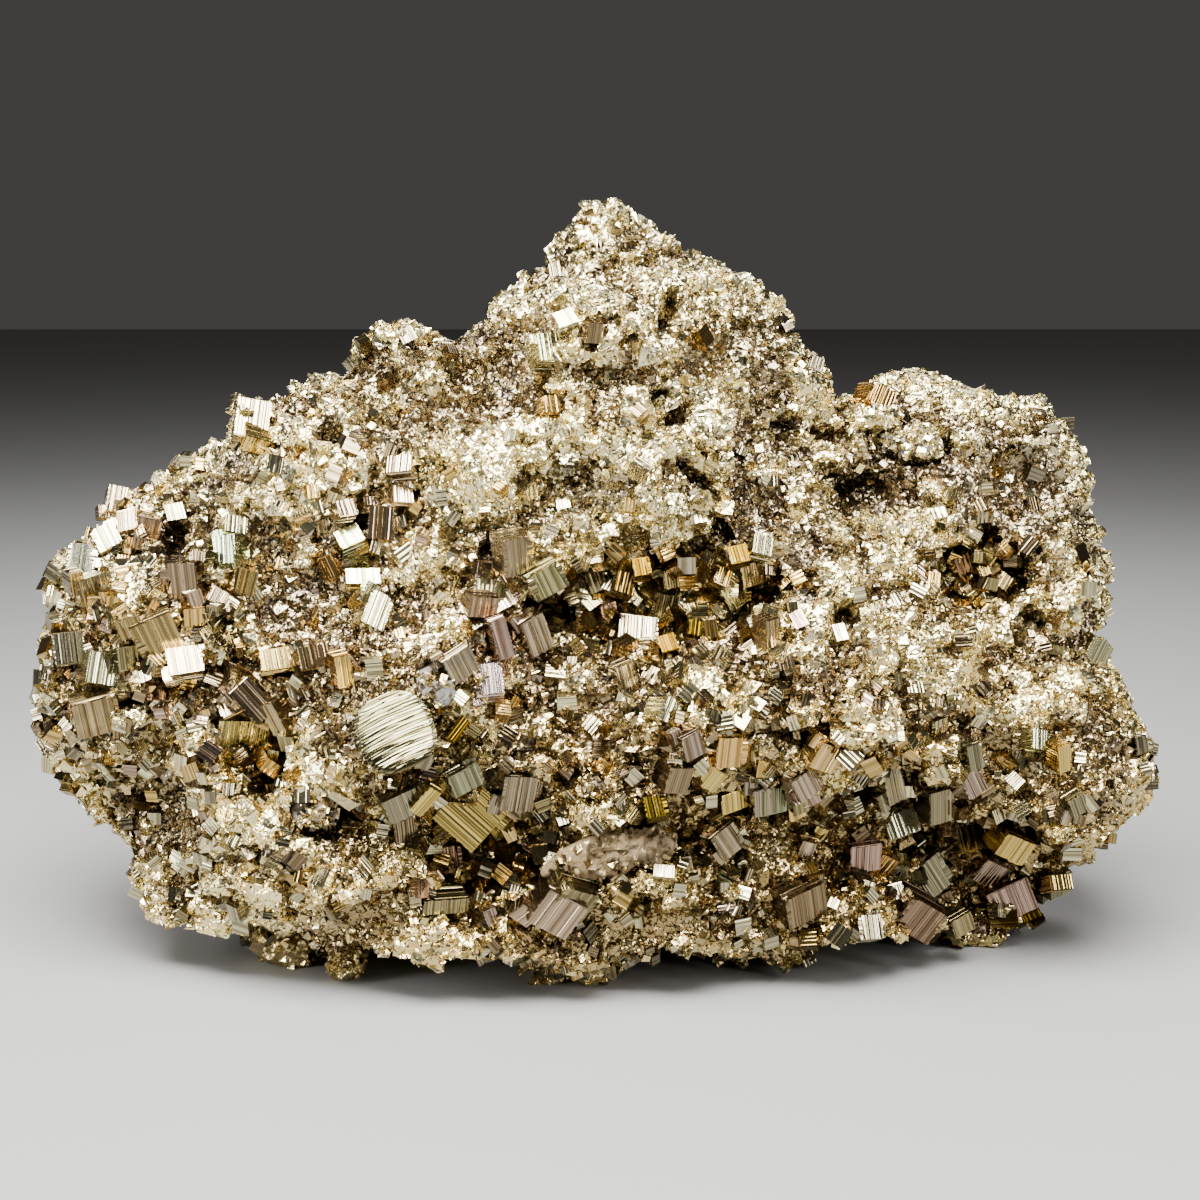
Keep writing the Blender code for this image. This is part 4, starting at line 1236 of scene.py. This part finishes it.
# %% Group: broken facets
FINER = 2.3
facets, given, result = new_group(
    "broken_facets", {"Cells per metre": ("float", 900), "Tilt": ("float", 0.5)},
    {"Normal": "vector", "Shade": "float"},
)
place = facets.nodes.new("ShaderNodeTexCoord").outputs["Object"]
cells = given.outputs["Cells per metre"]
coarse, fine = (
    add_node(facets, "ShaderNodeTexVoronoi", Vector=place, Scale=scale).outputs["Color"]
    for scale in (cells, number_math(facets, "MULTIPLY", cells, FINER))
)
centred = vector_math(facets, "SUBTRACT", vector_math(facets, "ADD", coarse, fine), (1, 1, 1))
push = vector_math(facets, "SCALE", centred, Scale=given.outputs["Tilt"])
surface = facets.nodes.new("ShaderNodeNewGeometry").outputs["Normal"]
normal = vector_math(facets, "NORMALIZE", vector_math(facets, "ADD", surface, push))
facets.links.new(normal, result.inputs["Normal"])
shade = add_node(facets, "ShaderNodeSeparateColor", Color=fine).outputs[0]
facets.links.new(shade, result.inputs["Shade"])
print("group:", facets.name)

# %% [markdown]
# The grooves read the piece's own UV map, whose u is the distance across the grooves in
# millimetres. Noise along that one direction gives bands of uneven width. The bands give a height
# for a bump and a painted reflection in the colour, which stands in for each ledge mirroring a
# slightly different thing.

# %% Group: grooves
SEED_PACE, SHEEN_PACE = 17.3, 0.55
grooves, given, result = new_group(
    "grooves", {"Bands per mm": ("float", 1.3)}, {"Height": "float", "Painted sheen": "float"}
)


def line_noise(place, detail, roughness):
    """Noise along one direction only."""
    return add_node(
        grooves, "ShaderNodeTexNoise", {"noise_dimensions": "1D"}, W=place, Scale=1.0,
        Detail=detail, Roughness=roughness,
    ).outputs[0]


stripe_map = add_node(grooves, "ShaderNodeUVMap", {"uv_map": "stripes"}).outputs["UV"]
parts = add_node(grooves, "ShaderNodeSeparateXYZ", Vector=stripe_map)
along = number_math(grooves, "MULTIPLY", parts.outputs["X"], given.outputs["Bands per mm"])
shifted = number_math(grooves, "MULTIPLY_ADD", parts.outputs["Y"], SEED_PACE, along)
bands = mapped(grooves, line_noise(shifted, 0.6, 0.5), From_Min=0.3, From_Max=0.7)
grooves.links.new(bands, result.inputs["Height"])
slower = number_math(grooves, "MULTIPLY", shifted, SHEEN_PACE)
tone = mapped(grooves, line_noise(slower, 5.0, 0.8), From_Min=0.42, From_Max=0.58)
grooves.links.new(tone, result.inputs["Painted sheen"])
print("group:", grooves.name)

# %% [markdown]
# Tarnish comes and goes over centimetres. This group puts out a soft mask from one cloudy
# noise, which the materials use to pull colours towards gold brown.

# %% Group: tarnish
tarnish, given, result = new_group(
    "tarnish", {"Patches per metre": ("float", 45), "From": ("float", 0.5), "To": ("float", 0.75)},
    {"Amount": "float"},
)
place = tarnish.nodes.new("ShaderNodeTexCoord").outputs["Object"]
cloud = add_node(
    tarnish, "ShaderNodeTexNoise", Vector=place, Scale=given.outputs["Patches per metre"],
    Detail=5.0, Roughness=0.65,
).outputs[0]
limits = {"From_Min": given.outputs["From"], "From_Max": given.outputs["To"]}
tarnish.links.new(mapped(tarnish, cloud, **limits), result.inputs["Amount"])
print("group:", tarnish.name)

# %% [markdown]
# Each material below starts from the same few parts: a Principled shader, the piece's own
# tint, read from its colour attribute, and the groups with values of its own.

# %% Put a group or an attribute into a material
def placed(tree, group, **inputs):
    """A node that holds the group, with its inputs set by name, _ standing for a space."""
    made = tree.nodes.new("ShaderNodeGroup")
    made.node_tree = group
    for name, value in inputs.items():
        made.inputs[name.replace("_", " ")].default_value = value
    return made


def new_material(name, metallic):
    """A Principled material, its tree, its shader and the piece's tint."""
    made = bpy.data.materials.new(name)
    made.use_nodes = True
    tree = made.node_tree
    shader = tree.nodes["Principled BSDF"]
    shader.inputs["Metallic"].default_value = metallic
    tint = add_node(tree, "ShaderNodeAttribute", {"attribute_name": "tint"}).outputs["Color"]
    return made, tree, shader, tint


print("material helper ready")

# %% [markdown]
# Granular pyrite is metal: its colour is the colour of what it mirrors. The grain's own
# tint is pulled towards brown gold where the tarnish mask says so, and each facet is a
# little lighter or darker and a little smoother or duller than its neighbour.

# %% Materials: granular pyrite and the skin under it
GRAIN_STAIN = (0.42, 0.34, 0.17)
FACET_TONES = (0.74, 0.72, 0.68), (1.08, 1.08, 1.08)


def grainy(name, cells, tilt):
    """Pyrite whose facets are that many to a metre and tilted that much."""
    made, tree, shader, tint = new_material(name, 1.0)
    broken = placed(tree, facets, Cells_per_metre=cells, Tilt=tilt)
    stain = placed(tree, tarnish, Patches_per_metre=38, From=0.5, To=0.78)
    stained = mixed(tree, stain.outputs["Amount"], tint, GRAIN_STAIN)
    tone = mixed(tree, broken.outputs["Shade"], *FACET_TONES)
    tree.links.new(mixed(tree, 1, stained, tone, "MULTIPLY"), shader.inputs["Base Color"])
    rough = mapped(tree, broken.outputs["Shade"], To_Min=0.30, To_Max=0.14)
    tree.links.new(rough, shader.inputs["Roughness"])
    tree.links.new(broken.outputs["Normal"], shader.inputs["Normal"])
    return made


granular = grainy("granular_pyrite", 900, 0.24)
foil = grainy("foil_pyrite", 820, 0.5)
print("materials:", granular.name, foil.name)

# %% [markdown]
# Grooved crystals are the same metal with whole faces. Bands of the groove group darken and warm
# the tint, a painted reflection of the ledges, and their height feeds a bump, so that a face
# glints in lines.

# %% Material: grooved crystals
CRYSTAL_STAIN = (0.60, 0.48, 0.22)
GROOVE_SHEEN_TONES = (0.38, 0.34, 0.26), (1.12, 1.10, 1.04)
BUMP_STRENGTH, BUMP_HEIGHT = 0.4, 0.16
grooved, tree, shader, tint = new_material("crystal_pyrite", 1.0)
lines = placed(tree, grooves, Bands_per_mm=1.5)
stain = placed(tree, tarnish, Patches_per_metre=70, From=0.55, To=0.9)
stained = mixed(tree, stain.outputs["Amount"], tint, CRYSTAL_STAIN)
# The painted sheen darkens and lightens the tint band by band.
tone = mixed(tree, lines.outputs["Painted sheen"], *GROOVE_SHEEN_TONES)
tree.links.new(mixed(tree, 1, stained, tone, "MULTIPLY"), shader.inputs["Base Color"])
rough = mapped(tree, lines.outputs["Painted sheen"], To_Min=0.26, To_Max=0.11)
tree.links.new(rough, shader.inputs["Roughness"])
relief = add_node(
    tree, "ShaderNodeBump", Strength=BUMP_STRENGTH, Distance=BUMP_HEIGHT * MM,
    Height=lines.outputs["Height"],
)
tree.links.new(relief.outputs[0], shader.inputs["Normal"])
print("material:", grooved.name)

# %% [markdown]
# Quartz isn't metal. It is milky white to beige, stained brown along cracks, with a fine
# sugary grain and specks of pyrite in it.

# %% Material: quartz
SUGAR_TONES = (0.72, 0.70, 0.68), (1.15, 1.15, 1.15)
CRACK_STAIN, SPECK_TINT = (0.10, 0.075, 0.045), (0.72, 0.58, 0.32)
quartz, tree, shader, tint = new_material("quartz", 0.0)
sugar = placed(tree, facets, Cells_per_metre=1100, Tilt=0.3)
stain = placed(tree, tarnish, Patches_per_metre=160, From=0.45, To=0.75)
specks = placed(tree, tarnish, Patches_per_metre=420, From=0.6, To=0.64)
tone = mixed(tree, sugar.outputs["Shade"], *SUGAR_TONES)
milky = mixed(tree, 1, tint, tone, "MULTIPLY")
browned = mixed(tree, stain.outputs["Amount"], milky, CRACK_STAIN)
speckled = mixed(tree, specks.outputs["Amount"], browned, SPECK_TINT)
tree.links.new(speckled, shader.inputs["Base Color"])
tree.links.new(specks.outputs["Amount"], shader.inputs["Metallic"])
shader.inputs["Roughness"].default_value = 0.5
shader.inputs["Specular IOR Level"].default_value = 0.12
tree.links.new(sugar.outputs["Normal"], shader.inputs["Normal"])
print("material:", quartz.name)

# %% [markdown]
# Each piece has a slot that names what it is made of. The skin lies under the grains and
# has a livelier version of their metal.

# %% Give every piece its material
FINISHES = {"granular_pyrite": granular, "crystal_pyrite": grooved, "quartz": quartz}
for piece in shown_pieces():
    if "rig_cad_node" not in piece:
        piece.data.materials.clear()
        material = foil if piece.name == "rock_skin" else FINISHES[piece["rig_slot"]]
        piece.data.materials.append(material)
